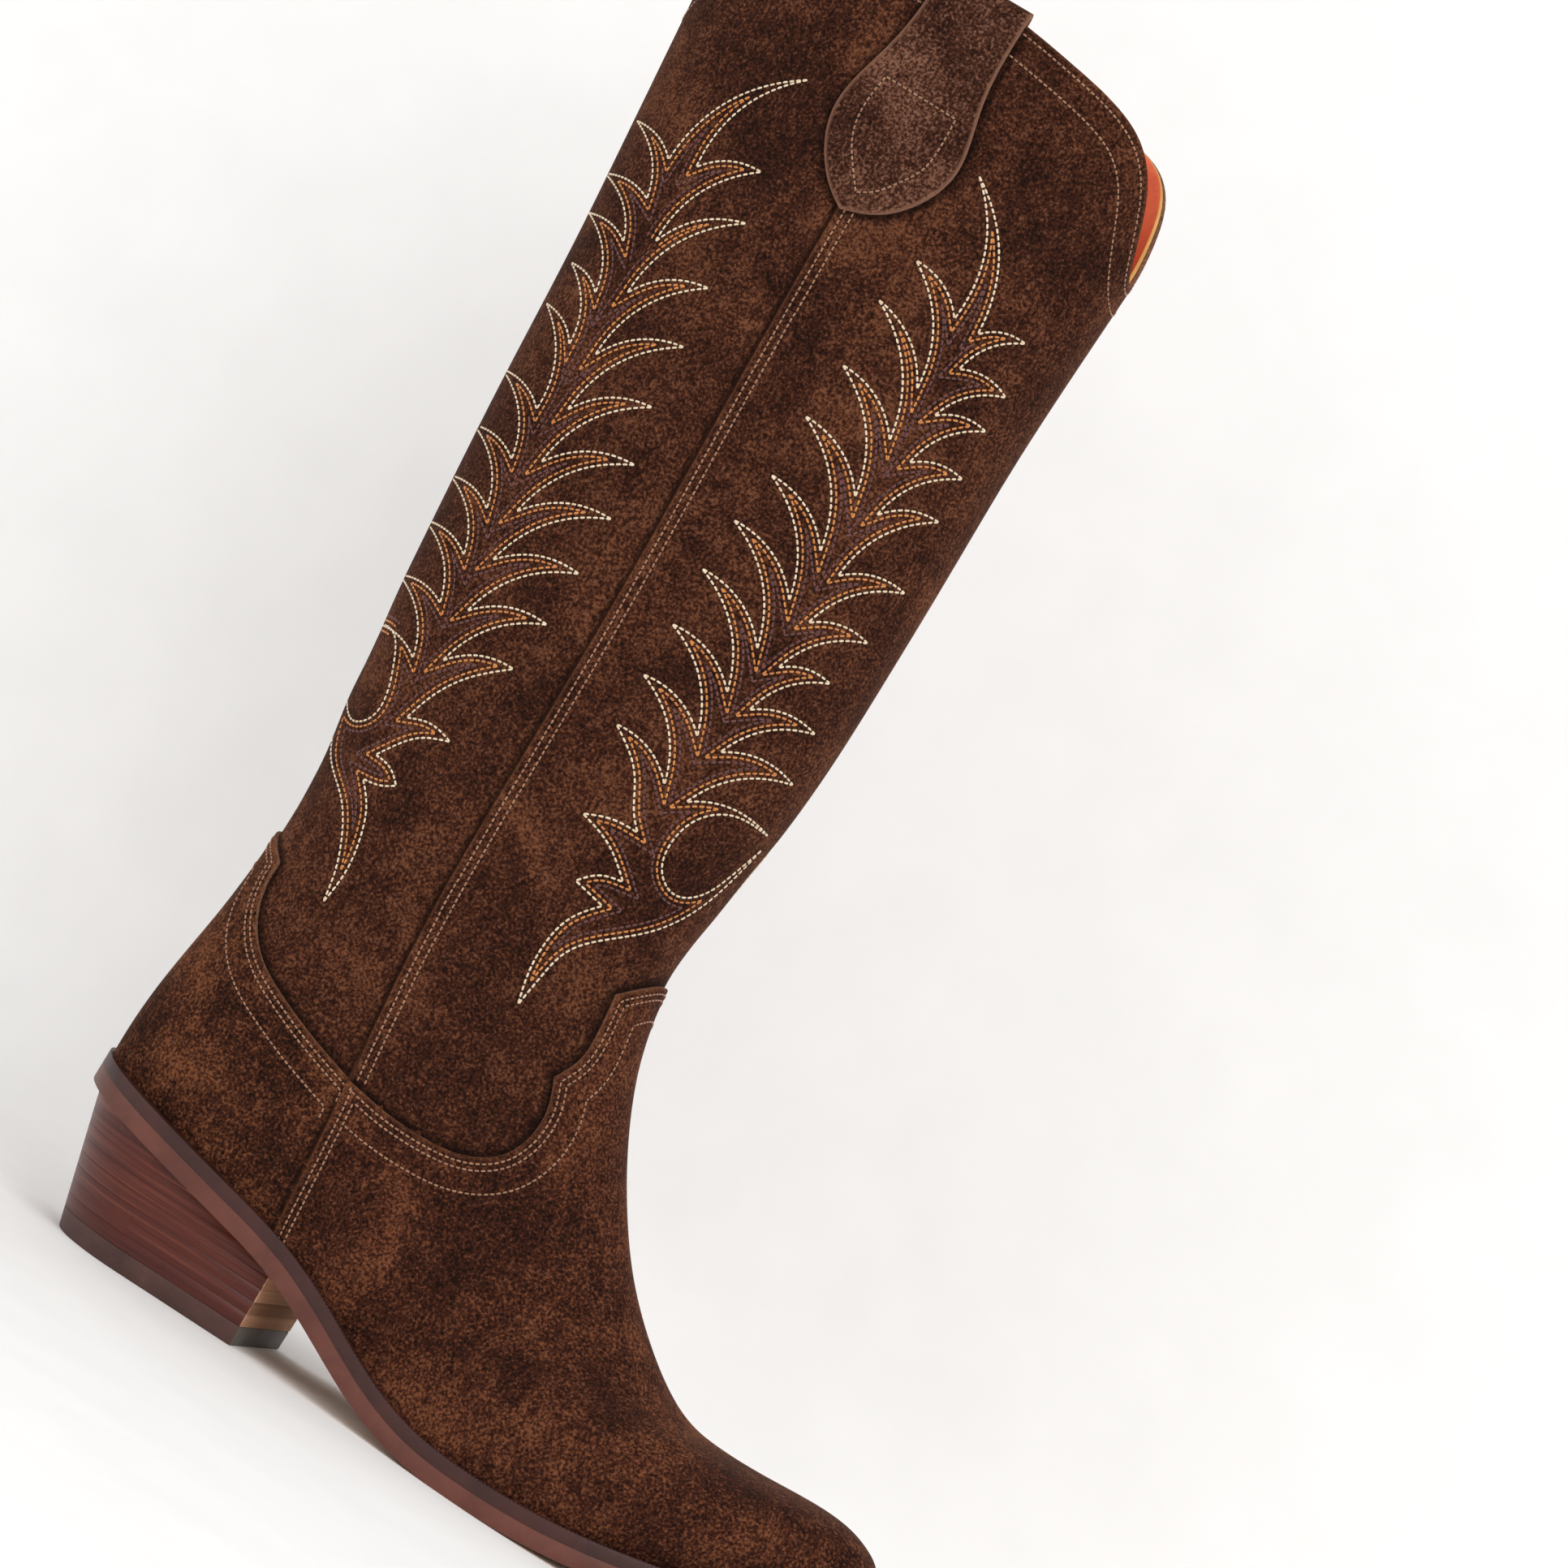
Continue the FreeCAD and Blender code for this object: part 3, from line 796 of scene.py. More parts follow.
@dataclass
class Thread:
    """Every stitch of one colour on one part of the boot."""

    name: str
    slot: Slot
    material: bpy.types.Material
    # The finish of the flat dark discs of painted shade where the needle goes through.
    hole_shade_material: bpy.types.Material
    pitch: float = 1.9 * MM
    width: float = 0.62 * MM
    share: float = 0.8
    stitches: list[Matrix] = field(default_factory=list)
    hole_shades: list[Matrix] = field(default_factory=list)

    HEIGHT = 0.8
    RISE = 0.12
    SHORTEST = 0.3
    # Size and lift of the flat dark discs of painted shade where the needle goes in.
    HOLE_RISE = 0.06 * MM
    HOLE_RADIUS = 0.36 * MM
    PLUMPNESS = 0.7
    DIP = 0.35

    def sew(self, run: np.ndarray, tree: BVHTree, smooth: BVHTree | None = None) -> None:
        """Adds a row of stitches along a run of points on a surface.

        Args:
            run: the row's points.
            tree: the surface that it is sewn through.
            smooth: a smoother surface close by that gives the stitches their tilt.
        """
        if len(run) < 2:
            return
        ends = resampled(run, self.pitch)
        for start, end in zip(ends, ends[1:]):
            middle = Vector((start + end) / 2)
            spot, normal, _, _ = tree.find_nearest(middle)
            if smooth:
                normal = smooth.find_nearest(middle)[1]
            way = Vector(end - start)
            length = way.length
            if spot is None or length < self.SHORTEST * self.pitch:
                continue
            way = (way - normal * way.dot(normal)).normalized()
            side = normal.cross(way)
            turn = Matrix((way, side, normal)).transposed().to_4x4()
            size = Matrix.Diagonal((length * self.share, self.width, self.width * self.HEIGHT, 1))
            self.stitches.append(Matrix.Translation(spot + normal * (self.width * self.RISE)) @ turn @ size)
            ground = tree.find_nearest(Vector(start))[0]
            # Painted shade: a flat dark disc where the needle goes in, at the stitch's start.
            self.hole_shades.append(Matrix.Translation(ground + normal * self.HOLE_RISE) @ turn)

    @staticmethod
    def stitch_shape() -> bmesh.types.BMesh:
        """A plump thread end to end, one unit long, wide and high."""
        bm = bmesh.new()
        bmesh.ops.create_uvsphere(bm, u_segments=6, v_segments=5, radius=0.5)
        bmesh.ops.rotate(bm, verts=bm.verts, cent=(0, 0, 0), matrix=Matrix.Rotation(math.pi / 2, 3, "Y"))
        for vert in bm.verts:
            vert.co.x = math.copysign(abs(vert.co.x * 2) ** Thread.PLUMPNESS / 2, vert.co.x)
            vert.co.z -= Thread.DIP * (vert.co.x * 2) ** 4
        return bm

    @staticmethod
    def hole_shape() -> bmesh.types.BMesh:
        """A flat dark disc of painted shade, where the needle went through."""
        bm = bmesh.new()
        bmesh.ops.create_circle(bm, cap_ends=True, radius=Thread.HOLE_RADIUS, segments=6)
        return bm

    def finish(self) -> None:
        """Builds the stitches, and the dark discs of painted shade where the needle went through, as two
        pieces.
        """
        stamped(self.name, self.stitch_shape(), self.stitches, self.material, True)
        stamped(self.name + "_holes", self.hole_shape(), self.hole_shades, self.hole_shade_material, False)


def stamped(name: str, shape: bmesh.types.BMesh, places: Sequence[Matrix],
            material: bpy.types.Material, smooth: bool) -> bpy.types.Object:
    """One piece made of many copies of a small shape.

    Args:
        name: the piece's name.
        shape: the small shape, which is freed.
        places: a matrix for each copy.
        material: its material.
        smooth: whether its faces are shaded smooth.

    Returns:
        The piece.
    """
    corners = np.array([(*vert.co, 1.0) for vert in shape.verts])
    faces = [[vert.index for vert in face.verts] for face in shape.faces]
    shape.free()
    moved = np.einsum("nij,vj->nvi", np.array(places), corners)[:, :, :3]
    sides = [[index + copy * len(corners) for index in face]
             for copy in range(len(places)) for face in faces]
    mesh = bpy.data.meshes.new(name)
    mesh.from_pydata(moved.reshape(-1, 3).tolist(), [], sides)
    mesh.polygons.foreach_set("use_smooth", [smooth] * len(mesh.polygons))
    share = mesh.attributes.new("copy_tone", "FLOAT", "POINT")
    tones = np.random.default_rng(len(places)).random(len(places))
    share.data.foreach_set("value", np.repeat(tones, len(corners)).astype(np.float32))
    return make_piece(name, mesh, [material])


@dataclass(frozen=True)
class Feather:
    """A flame drawn with one line of stitching: barbs on both sides of a spine, in millimetres.

    Each barb is its tip's X and Z and how far below the tip the notch above it lies.
    """

    top: tuple[float, float]
    spine: tuple[tuple[float, float], ...]
    left: tuple[tuple[float, float, float], ...]
    right: tuple[tuple[float, float, float], ...]
    tail_left: tuple[tuple[float, float], ...]
    tail_right: tuple[tuple[float, float], ...]
    half_gap: float = 4.2

    BOW = 0.13
    BOW_POINTS = 24
    TAIL_STEP = 0.6
    ROW_STEP = 0.4
    ROW_CLEARANCE = 0.96
    SPINE_SLACK = 0.4
    ROW_BREAK = 1.2
    MITRE_REACH = 5

    def spine_x(self, z: float) -> float:
        """Where the middle of the flame is at a height."""
        return float(np.interp(z, [point[1] for point in self.spine][::-1],
                               [point[0] for point in self.spine][::-1]))

    def edges(self) -> list[np.ndarray]:
        """The flame's outline as curved edges from corner to corner, down the left and up the right.

        Returns:
            One array of points for each edge, in millimetres.
        """
        sides = []
        for barbs, sign in ((self.left, -1), (self.right, 1)):
            corners = [np.array(self.top)]
            for x, z, drop in barbs:
                notch = z - drop
                corners += [np.array([self.spine_x(notch) + sign * self.half_gap, notch]), np.array([x, z])]
            side = []
            for start, end in zip(corners, corners[1:]):
                side.append(self.bowed(start, end, sign))
            sides.append(side)
        left = sides[0] + self.tail(self.left[-1][:2], self.tail_left)
        right = sides[1] + self.tail(self.right[-1][:2], self.tail_right)
        return left + [edge[::-1] for edge in reversed(right)]

    @staticmethod
    def bowed(start: np.ndarray, end: np.ndarray, sign: int) -> np.ndarray:
        """A slightly bowed edge, full on its upper side."""
        across = end - start
        up = np.array([-across[1], across[0]])
        steep = abs(up[1]) < abs(up[0]) * 0.5
        up *= math.copysign(1.0, -up[0] * sign if steep else up[1])
        share = np.linspace(0, 1, Feather.BOW_POINTS)[:, None]
        return start + across * share + up * (4 * Feather.BOW) * share * (1 - share)

    @staticmethod
    def tail(start: tuple[float, float], corners: tuple[tuple[float, float], ...]) -> list[np.ndarray]:
        """The flame's foot: smooth edges through groups of points, where a repeated point is a corner."""
        edges = []
        run = [start]
        for index, point in enumerate(corners):
            run.append(point)
            last = index == len(corners) - 1
            if last or corners[index + 1] == point:
                if len(run) > 2 or run[0] != run[-1]:
                    edges.append(drawn(list(dict.fromkeys(run)), Feather.TAIL_STEP) / MM)
                run = [point]
        return edges

    def rows(self, inset: float) -> list[np.ndarray]:
        """The outline's edges moved inwards by inset, trimmed or joined at the corners.

        Args:
            inset: distance in millimetres.

        Returns:
            One array of points for each edge.
        """
        edges = self.edges()
        if inset == 0:
            return edges
        outline = np.concatenate(edges)
        barbs = 2 * len(self.left)
        moved = []
        for edge in edges:
            way = np.gradient(edge, axis=0)
            way /= np.linalg.norm(way, axis=1)[:, None]
            moved.append(edge + np.stack([-way[:, 1], way[:, 0]], axis=1) * inset)
        for index in range(len(moved)):
            after = (index + 1) % len(moved)
            moved[index], moved[after] = self.mitred(moved[index], moved[after], inset)
        rows = []
        for index, row in enumerate(moved):
            row = resampled(row, self.ROW_STEP)
            clear = away_from_line(row, outline) > self.ROW_CLEARANCE * inset
            middle = np.array([self.spine_x(z) for z in row[:, 1]])
            if 0 < index < barbs:
                clear &= row[:, 0] < middle + self.SPINE_SLACK
            elif len(moved) - 2 * len(self.right) <= index < len(moved) - 1:
                clear &= row[:, 0] > middle - self.SPINE_SLACK
            rows += stretches(row, clear, self.ROW_BREAK)
        return rows

    @staticmethod
    def mitred(before: np.ndarray, after: np.ndarray, inset: float) -> tuple[np.ndarray, np.ndarray]:
        """Two moved edges lengthened to the corner where they meet, unless they already cross."""
        way_in = before[-1] - before[-3]
        way_out = after[0] - after[2]
        matrix = np.stack([way_in, -way_out], axis=1)
        if abs(np.linalg.det(matrix)) > 1e-9:
            share = np.linalg.solve(matrix, after[0] - before[-1])
            corner = before[-1] + way_in * share[0]
            if share[0] > 0 and np.linalg.norm(corner - before[-1]) < Feather.MITRE_REACH * inset:
                return np.vstack([before, corner]), np.vstack([corner, after])
        return before, after


FRONT_FEATHER = Feather(
    top=(38.3, 417.2),
    spine=((58.5, 380), (61.5, 330), (60.5, 270), (57.2, 205)),
    left=((35.5, 385.5, 9), (32, 369.5, 17), (33, 347, 12), (31.5, 328, 13), (32, 307.5, 12),
          (29.5, 290, 12), (29, 272.5, 12), (30, 253.5, 9), (30.5, 236, 7.5), (31.5, 219, 8)),
    right=((76.7, 381.2, 5), (80.1, 364.3, 0), (80.4, 352.4, 4), (81.9, 336.4, 4), (82.6, 321.7, 8),
           (85.1, 298, 6), (83.4, 279.3, 4), (80.1, 263, 4), (84.2, 247.6, 4), (86.5, 231.1, 3),
           (88.0, 214, 4)),
    tail_left=((44, 209), (51, 197.5), (54, 194.4), (54, 194.4), (46, 194), (36.9, 190.7), (36.9, 190.7),
               (48, 187), (58, 179.4), (58, 179.4), (51, 177.5), (45.6, 172.3), (45.6, 172.3), (56.5, 170),
               (56.5, 170), (50, 161.5), (47.6, 151), (47.9, 142), (50.3, 131.4)),
    tail_right=((76, 213.8), (67.5, 207.5), (64.2, 197), (66.5, 188), (73.5, 184.2), (79, 187), (84.5, 197),
                (88.6, 209.5), (88.6, 209.5), (86.5, 200), (81.5, 184), (73.4, 171.5), (62.3, 161.5),
                (54.5, 152.5), (51.8, 142), (50.3, 131.4)))
BACK_FEATHER = Feather(
    top=(-20.7, 414.9),
    spine=((-40, 375), (-37.6, 325), (-33, 270), (-27, 203)),
    left=((-58.2, 377.4, 5), (-58, 358.9, 0), (-56, 346.2, 2), (-52.7, 330.6, 4), (-52.7, 316.2, 7),
          (-53.6, 292.4, 5), (-52.2, 273.6, 3), (-50.4, 256.9, 3), (-49.7, 241.4, 3), (-47.8, 223.3, 1),
          (-47.4, 206.9, 3)),
    right=((-18.3, 383.8, 9), (-14, 368.2, 19), (-13.5, 345.6, 14), (-10.5, 326.6, 16), (-9.2, 306.1, 14),
           (-4.6, 288.5, 14), (-2, 270.9, 13), (-1.8, 251.7, 10), (-2, 233.6, 9), (-3.7, 216.9, 9)),
    tail_left=((-41.5, 208), (-35.5, 200), (-32.1, 189.5), (-33.6, 180.5), (-36.8, 178.4), (-41, 182),
               (-44.6, 190.5), (-46.4, 196.5), (-46.4, 196.5), (-44.2, 188), (-41.5, 178.5), (-36.3, 165),
               (-28, 157), (-21.5, 147), (-18, 138), (-15.9, 127)),
    tail_right=((-13.5, 208), (-20, 198), (-23.5, 187.6), (-23.5, 187.6), (-16.5, 189.8), (-8.5, 188.2),
                (-8.5, 188.2), (-17.5, 184), (-22.5, 178), (-25.6, 173.2), (-25.6, 173.2), (-20, 172.2),
                (-15.5, 168.4), (-15.5, 168.4), (-19, 166.2), (-25, 165), (-25, 165), (-20.2, 159),
                (-16.4, 149), (-14.9, 139), (-15.9, 127)))


# ---- shared material effects


class Nodes:
    """A node tree with short calls for the nodes that the finishes use."""

    def __init__(self, tree: bpy.types.NodeTree) -> None:
        """Starts on a tree."""
        self.tree = tree

    def add(self, kind: str, values: dict[str, object] | None = None, **settings: object) -> bpy.types.Node:
        """Adds a node.

        Args:
            kind: the node's type, without its ShaderNode prefix.
            values: what its inputs are set to, or the sockets that they are linked from.
            settings: the node's own settings.

        Returns:
            The node.
        """
        node = self.tree.nodes.new("ShaderNode" + kind)
        for key, value in settings.items():
            setattr(node, key, value)
        for key, value in (values or {}).items():
            socket = node.inputs[key]
            if isinstance(value, bpy.types.NodeSocket):
                self.tree.links.new(value, socket)
            else:
                socket.default_value = value
        return node

    def maths(self, operation: str, *inputs: object) -> bpy.types.NodeSocket:
        """The result of a sum on numbers or sockets."""
        node = self.add("Math", dict(enumerate(inputs)), operation=operation)
        return node.outputs[0]

    def ramp(self, value: bpy.types.NodeSocket,
             stops: Sequence[tuple[float, Sequence[float]]]) -> bpy.types.NodeSocket:
        """A colour picked by a value, between stops of place and colour."""
        node = self.add("ValToRGB", {"Fac": value})
        while len(node.color_ramp.elements) < len(stops):
            node.color_ramp.elements.new(0.5)
        for element, (place, colour) in zip(node.color_ramp.elements, stops):
            element.position = place
            element.color = colour
        return node.outputs["Color"]

    def spread(self, value: bpy.types.NodeSocket, span: tuple[float, float], result: tuple[float, float],
               smooth: bool = False) -> bpy.types.NodeSocket:
        """A value carried from one span to another, and held at the ends.

        Args:
            value: the value.
            span: its lowest and highest value.
            result: what they become.
            smooth: whether the change starts and ends gently.

        Returns:
            The new value.
        """
        values = {"Value": value, "From Min": span[0], "From Max": span[1], "To Min": result[0],
                  "To Max": result[1]}
        kind = "SMOOTHSTEP" if smooth else "LINEAR"
        return self.add("MapRange", values, interpolation_type=kind).outputs[0]

    def mixed(self, share: object, one: object, other: object) -> bpy.types.NodeSocket:
        """Two colours mixed by a share."""
        node = self.add("Mix", data_type="RGBA")
        for socket, value in ((node.inputs[0], share), (node.inputs[6], one), (node.inputs[7], other)):
            if isinstance(value, bpy.types.NodeSocket):
                self.tree.links.new(value, socket)
            else:
                socket.default_value = value
        return node.outputs[2]

    def noise(self, place: object, scale: float, detail: float = 2.0, roughness: float = 0.5,
              distortion: float = 0.0) -> bpy.types.NodeSocket:
        """Smooth noise from 0 to 1."""
        values = {"Vector": place, "Scale": scale, "Detail": detail, "Roughness": roughness,
                  "Distortion": distortion}
        return self.add("TexNoise", values).outputs["Fac"]

    def attribute(self, name: str) -> bpy.types.NodeSocket:
        """A number stored on the mesh."""
        return self.add("Attribute", attribute_name=name).outputs["Fac"]


def new_group(
        name: str, inputs: Sequence[tuple[str, str, object]], outputs: Sequence[tuple[str, str]],
) -> tuple[bpy.types.NodeTree, Nodes, bpy.types.Node, bpy.types.Node]:
    """An empty shader group with named inputs and outputs.

    Args:
        name: the group's name.
        inputs: each input's name, socket type and default.
        outputs: each output's name and socket type.

    Returns:
        The group, its node maker, its input node and its output node.
    """
    group = bpy.data.node_groups.new(name, "ShaderNodeTree")
    for label, kind, value in inputs:
        socket = group.interface.new_socket(label, in_out="INPUT", socket_type=kind)
        if value is not None:
            socket.default_value = value
    for label, kind in outputs:
        group.interface.new_socket(label, in_out="OUTPUT", socket_type=kind)
    nodes = Nodes(group)
    return group, nodes, nodes.tree.nodes.new("NodeGroupInput"), nodes.tree.nodes.new("NodeGroupOutput")


def nap_group() -> bpy.types.NodeTree:
    """Brushed suede: fine fibres, mottles a few millimetres across and broad brushed patches."""
    group, nodes, start, end = new_group(
        "Suede nap",
        [("Vector", "NodeSocketVector", None), ("Dark", "NodeSocketColor", tone(40, 20, 12)),
         ("Mid", "NodeSocketColor", tone(80, 45, 30)), ("Light", "NodeSocketColor", tone(120, 75, 50)),
         ("Brushed", "NodeSocketFloat", 0.5)],
        [("Color", "NodeSocketColor"), ("Height", "NodeSocketFloat"), ("Roughness", "NodeSocketFloat")])
    place = start.outputs["Vector"]
    fibre = nodes.noise(place, 1050, 3, 0.62)
    mottle = nodes.noise(place, 210, 3, 0.55)
    patch = nodes.noise(place, 30, 2, 0.5, 0.6)
    level = nodes.maths("ADD", nodes.maths("MULTIPLY", fibre, 1.6), nodes.maths("MULTIPLY", mottle, 0.4))
    brushed = nodes.maths("MULTIPLY", patch, start.outputs["Brushed"])
    level = nodes.maths("ADD", level, brushed)
    shift = nodes.maths("MULTIPLY_ADD", start.outputs["Brushed"], -0.5, -0.5)
    level = nodes.maths("ADD", level, shift)
    low = nodes.spread(level, (0.22, 0.5), (0.0, 1.0))
    high = nodes.spread(level, (0.5, 0.82), (0.0, 1.0))
    colour = nodes.mixed(low, start.outputs["Dark"], start.outputs["Mid"])
    colour = nodes.mixed(high, colour, start.outputs["Light"])
    height = nodes.maths("ADD", nodes.maths("MULTIPLY", fibre, 0.75), nodes.maths("MULTIPLY", mottle, 0.45))
    rough = nodes.spread(patch, (0.3, 0.7), (0.86, 0.97))
    nodes.tree.links.new(colour, end.inputs["Color"])
    nodes.tree.links.new(height, end.inputs["Height"])
    nodes.tree.links.new(rough, end.inputs["Roughness"])
    return group


def grain_group() -> bpy.types.NodeTree:
    """Leather grain: small pebbles with pores between them, and broad uneven dye."""
    group, nodes, start, end = new_group(
        "Leather grain",
        [("Vector", "NodeSocketVector", None), ("Scale", "NodeSocketFloat", 700.0)],
        [("Height", "NodeSocketFloat"), ("Dye", "NodeSocketFloat")])
    cells = nodes.add("TexVoronoi", {"Vector": start.outputs["Vector"], "Scale": start.outputs["Scale"]},
                      feature="SMOOTH_F1")
    fine = nodes.noise(start.outputs["Vector"], 900, 4, 0.6)
    height = nodes.maths("MULTIPLY_ADD", cells.outputs["Distance"], 0.6, nodes.maths("MULTIPLY", fine, 0.5))
    dye = nodes.noise(start.outputs["Vector"], 65, 4, 0.6, 0.4)
    nodes.tree.links.new(height, end.inputs["Height"])
    nodes.tree.links.new(dye, end.inputs["Dye"])
    return group


def streak_group() -> bpy.types.NodeTree:
    """Edge-on leather layers: fine level streaks, with some layers darker than others."""
    group, nodes, start, end = new_group(
        "Layer streaks",
        [("Vector", "NodeSocketVector", None), ("Layer", "NodeSocketFloat", 0.00425)],
        [("Streak", "NodeSocketFloat"), ("Tone", "NodeSocketFloat"), ("Height", "NodeSocketFloat")])
    long_way = nodes.add("Mapping", {"Vector": start.outputs["Vector"], "Scale": (14.0, 14.0, 900.0)})
    fine = nodes.noise(long_way.outputs[0], 1.0, 4, 0.65, 0.3)
    wide_way = nodes.add("Mapping", {"Vector": start.outputs["Vector"], "Scale": (9.0, 9.0, 150.0)})
    broad = nodes.noise(wide_way.outputs[0], 1.0, 3, 0.55, 0.5)
    split = nodes.add("SeparateXYZ", {"Vector": start.outputs["Vector"]})
    number = nodes.maths("FLOOR", nodes.maths("DIVIDE", nodes.maths("SUBTRACT", split.outputs[2], 0.0066),
                                              start.outputs["Layer"]))
    layer = nodes.add("TexWhiteNoise", {"W": number}, noise_dimensions="1D")
    streak = nodes.maths("ADD", nodes.maths("MULTIPLY", fine, 0.6), nodes.maths("MULTIPLY", broad, 0.4))
    nodes.tree.links.new(streak, end.inputs["Streak"])
    nodes.tree.links.new(layer.outputs["Value"], end.inputs["Tone"])
    nodes.tree.links.new(fine, end.inputs["Height"])
    return group


GROUPS: dict[str, bpy.types.NodeTree] = {}


def shared(name: str) -> bpy.types.NodeTree:
    """A shared effect's group, built the first time it is asked for."""
    makers: dict[str, Callable[[], bpy.types.NodeTree]] = {
        "nap": nap_group, "grain": grain_group, "streaks": streak_group}
    if name not in GROUPS:
        GROUPS[name] = makers[name]()
    return GROUPS[name]


class Finish:
    """A material with its shader, and the place on the object that patterns follow."""

    def __init__(self, name: str, **constants: object) -> None:
        """Makes the material.

        Args:
            name: the material's name.
            constants: values for the shader's inputs, with _ for a space in their names.
        """
        self.material = bpy.data.materials.new(name)
        self.material.use_nodes = True
        tree = self.material.node_tree
        self.nodes = Nodes(tree)
        self.shader = next(node for node in tree.nodes if node.type == "BSDF_PRINCIPLED")
        for key, value in constants.items():
            self.shader.inputs[key.replace("_", " ")].default_value = value
        self.place = self.nodes.add("TexCoord").outputs["Object"]

    def group(self, name: str, values: dict[str, object]) -> bpy.types.Node:
        """Places a shared effect in the material with its own values."""
        node = self.nodes.add("Group", node_tree=shared(name))
        for key, value in values.items():
            if isinstance(value, bpy.types.NodeSocket):
                self.nodes.tree.links.new(value, node.inputs[key])
            else:
                node.inputs[key].default_value = value
        return node

    def link(self, socket: bpy.types.NodeSocket, name: str) -> None:
        """Links a socket to one of the shader's inputs."""
        self.nodes.tree.links.new(socket, self.shader.inputs[name])

    def bump(self, height: bpy.types.NodeSocket, depth: float, strength: float = 1.0) -> None:
        """Presses a height into the surface, depth metres at most."""
        node = self.nodes.add("Bump", {"Height": height, "Strength": strength, "Distance": depth})
        self.link(node.outputs["Normal"], "Normal")


@dataclass(frozen=True)
class SuedeFinish:
    """Brushed suede in three browns, paler at worn edges, with painted shade beside a piece that overlaps it.
    """

    name: str
    dark: Colour
    mid: Colour
    light: Colour
    brushed: float = 0.5
    worn: float = 0.3
    worn_reach: float = 1.1 * MM
    depth: float = 0.45 * MM

    # Painted shade: a near-black brown mixed into the suede beside an overlapping piece, standing in for the
    # shadow that it casts.
    PAINTED_SHADE = tone(14, 6, 4)
    PAINTED_SHADE_SHARE = 0.78
    PAINTED_SHADE_SPAN = (0.4 * MM, 3.4 * MM)
    ROLL_REACH = 1.4 * MM

    def build(self) -> bpy.types.Material:
        """Makes the suede's material."""
        finish = Finish(self.name, Sheen_Weight=0.09, Sheen_Roughness=0.4, Specular_IOR_Level=0.08,
                        Sheen_Tint=tone(206, 150, 118))
        nap = finish.group("nap", {"Vector": finish.place, "Dark": self.dark, "Mid": self.mid,
                                   "Light": self.light, "Brushed": self.brushed})
        gap = finish.nodes.attribute("edge_gap")
        rolled = finish.nodes.spread(gap, (0.0, self.ROLL_REACH), (0.0, 1.0), smooth=True)
        worn = finish.nodes.spread(gap, (0.3 * MM, self.worn_reach), (self.worn, 0.0))
        # Painted shade beside overlapping pieces, fading out with the distance stored as lap_gap.
        lap = finish.nodes.attribute("lap_gap")
        shade = finish.nodes.spread(lap, self.PAINTED_SHADE_SPAN, (self.PAINTED_SHADE_SHARE, 0.0), smooth=True)
        colour = finish.nodes.mixed(shade, nap.outputs["Color"], self.PAINTED_SHADE)
        colour = finish.nodes.mixed(worn, colour, self.light)
        finish.link(colour, "Base Color")
        finish.link(nap.outputs["Roughness"], "Roughness")
        height = finish.nodes.maths("MULTIPLY_ADD", rolled, 0.7, nap.outputs["Height"])
        finish.bump(height, self.depth)
        return finish.material


@dataclass(frozen=True)
class GrainFinish:
    """Smooth leather, board or rubber: one dye that varies, over a fine grain."""

    name: str
    dark: Colour
    light: Colour
    roughness: float = 0.5
    grain: float = 700.0
    depth: float = 0.12 * MM
    coat: float = 0.0

    def build(self) -> bpy.types.Material:
        """Makes the leather's material."""
        finish = Finish(self.name, Specular_IOR_Level=0.4, Coat_Roughness=0.3)
        grain = finish.group("grain", {"Vector": finish.place, "Scale": self.grain})
        colour = finish.nodes.ramp(grain.outputs["Dye"], [(0.3, self.dark), (0.7, self.light)])
        finish.link(colour, "Base Color")
        spread = (self.roughness - 0.1, self.roughness + 0.12)
        finish.link(finish.nodes.spread(grain.outputs["Dye"], (0.0, 1.0), spread), "Roughness")
        finish.shader.inputs["Coat Weight"].default_value = self.coat
        finish.bump(grain.outputs["Height"], self.depth)
        return finish.material


@dataclass(frozen=True)
class StackFinish:
    """The heel's stacked leather: stained and polished outside, raw on the breast."""

    name: str
    dark: Colour = tone(58, 20, 14)
    mid: Colour = tone(84, 34, 25)
    light: Colour = tone(124, 68, 46)
    raw_dark: Colour = tone(126, 84, 58)
    raw_light: Colour = tone(206, 160, 128)

    def build(self) -> bpy.types.Material:
        """Makes the stack's material."""
        finish = Finish(self.name, Specular_IOR_Level=0.28, Coat_Roughness=0.35)
        streaks = finish.group("streaks", {"Vector": finish.place})
        nodes = finish.nodes
        stained = nodes.ramp(streaks.outputs["Streak"],
                             [(0.32, self.dark), (0.52, self.mid), (0.72, self.light)])
        fine = nodes.maths("MULTIPLY", streaks.outputs["Streak"], 0.6)
        value = nodes.maths("MULTIPLY_ADD", streaks.outputs["Tone"], 0.4, fine)
        raw = nodes.ramp(value, [(0.25, self.raw_dark), (0.7, self.raw_light)])
        split = nodes.add("SeparateXYZ", {"Vector": finish.place})
        wobble = nodes.maths("MULTIPLY", nodes.noise(finish.place, 500, 2), 0.9 * MM)
        front = nodes.maths("ADD", split.outputs[0], wobble)
        breast = nodes.spread(front, (HEEL_BREAST_X + 0.05 * MM, HEEL_BREAST_X + 0.3 * MM), (0.0, 1.0))
        finish.link(nodes.mixed(breast, stained, raw), "Base Color")
        finish.link(nodes.spread(breast, (0.0, 1.0), (0.42, 0.9)), "Roughness")
        finish.link(nodes.spread(breast, (0.0, 1.0), (0.1, 0.0)), "Coat Weight")
        fuzz = nodes.maths("MULTIPLY", nodes.noise(finish.place, 1500, 4, 0.7), breast)
        finish.bump(nodes.maths("MULTIPLY_ADD", streaks.outputs["Height"], 0.35, fuzz), 0.1 * MM)
        return finish.material


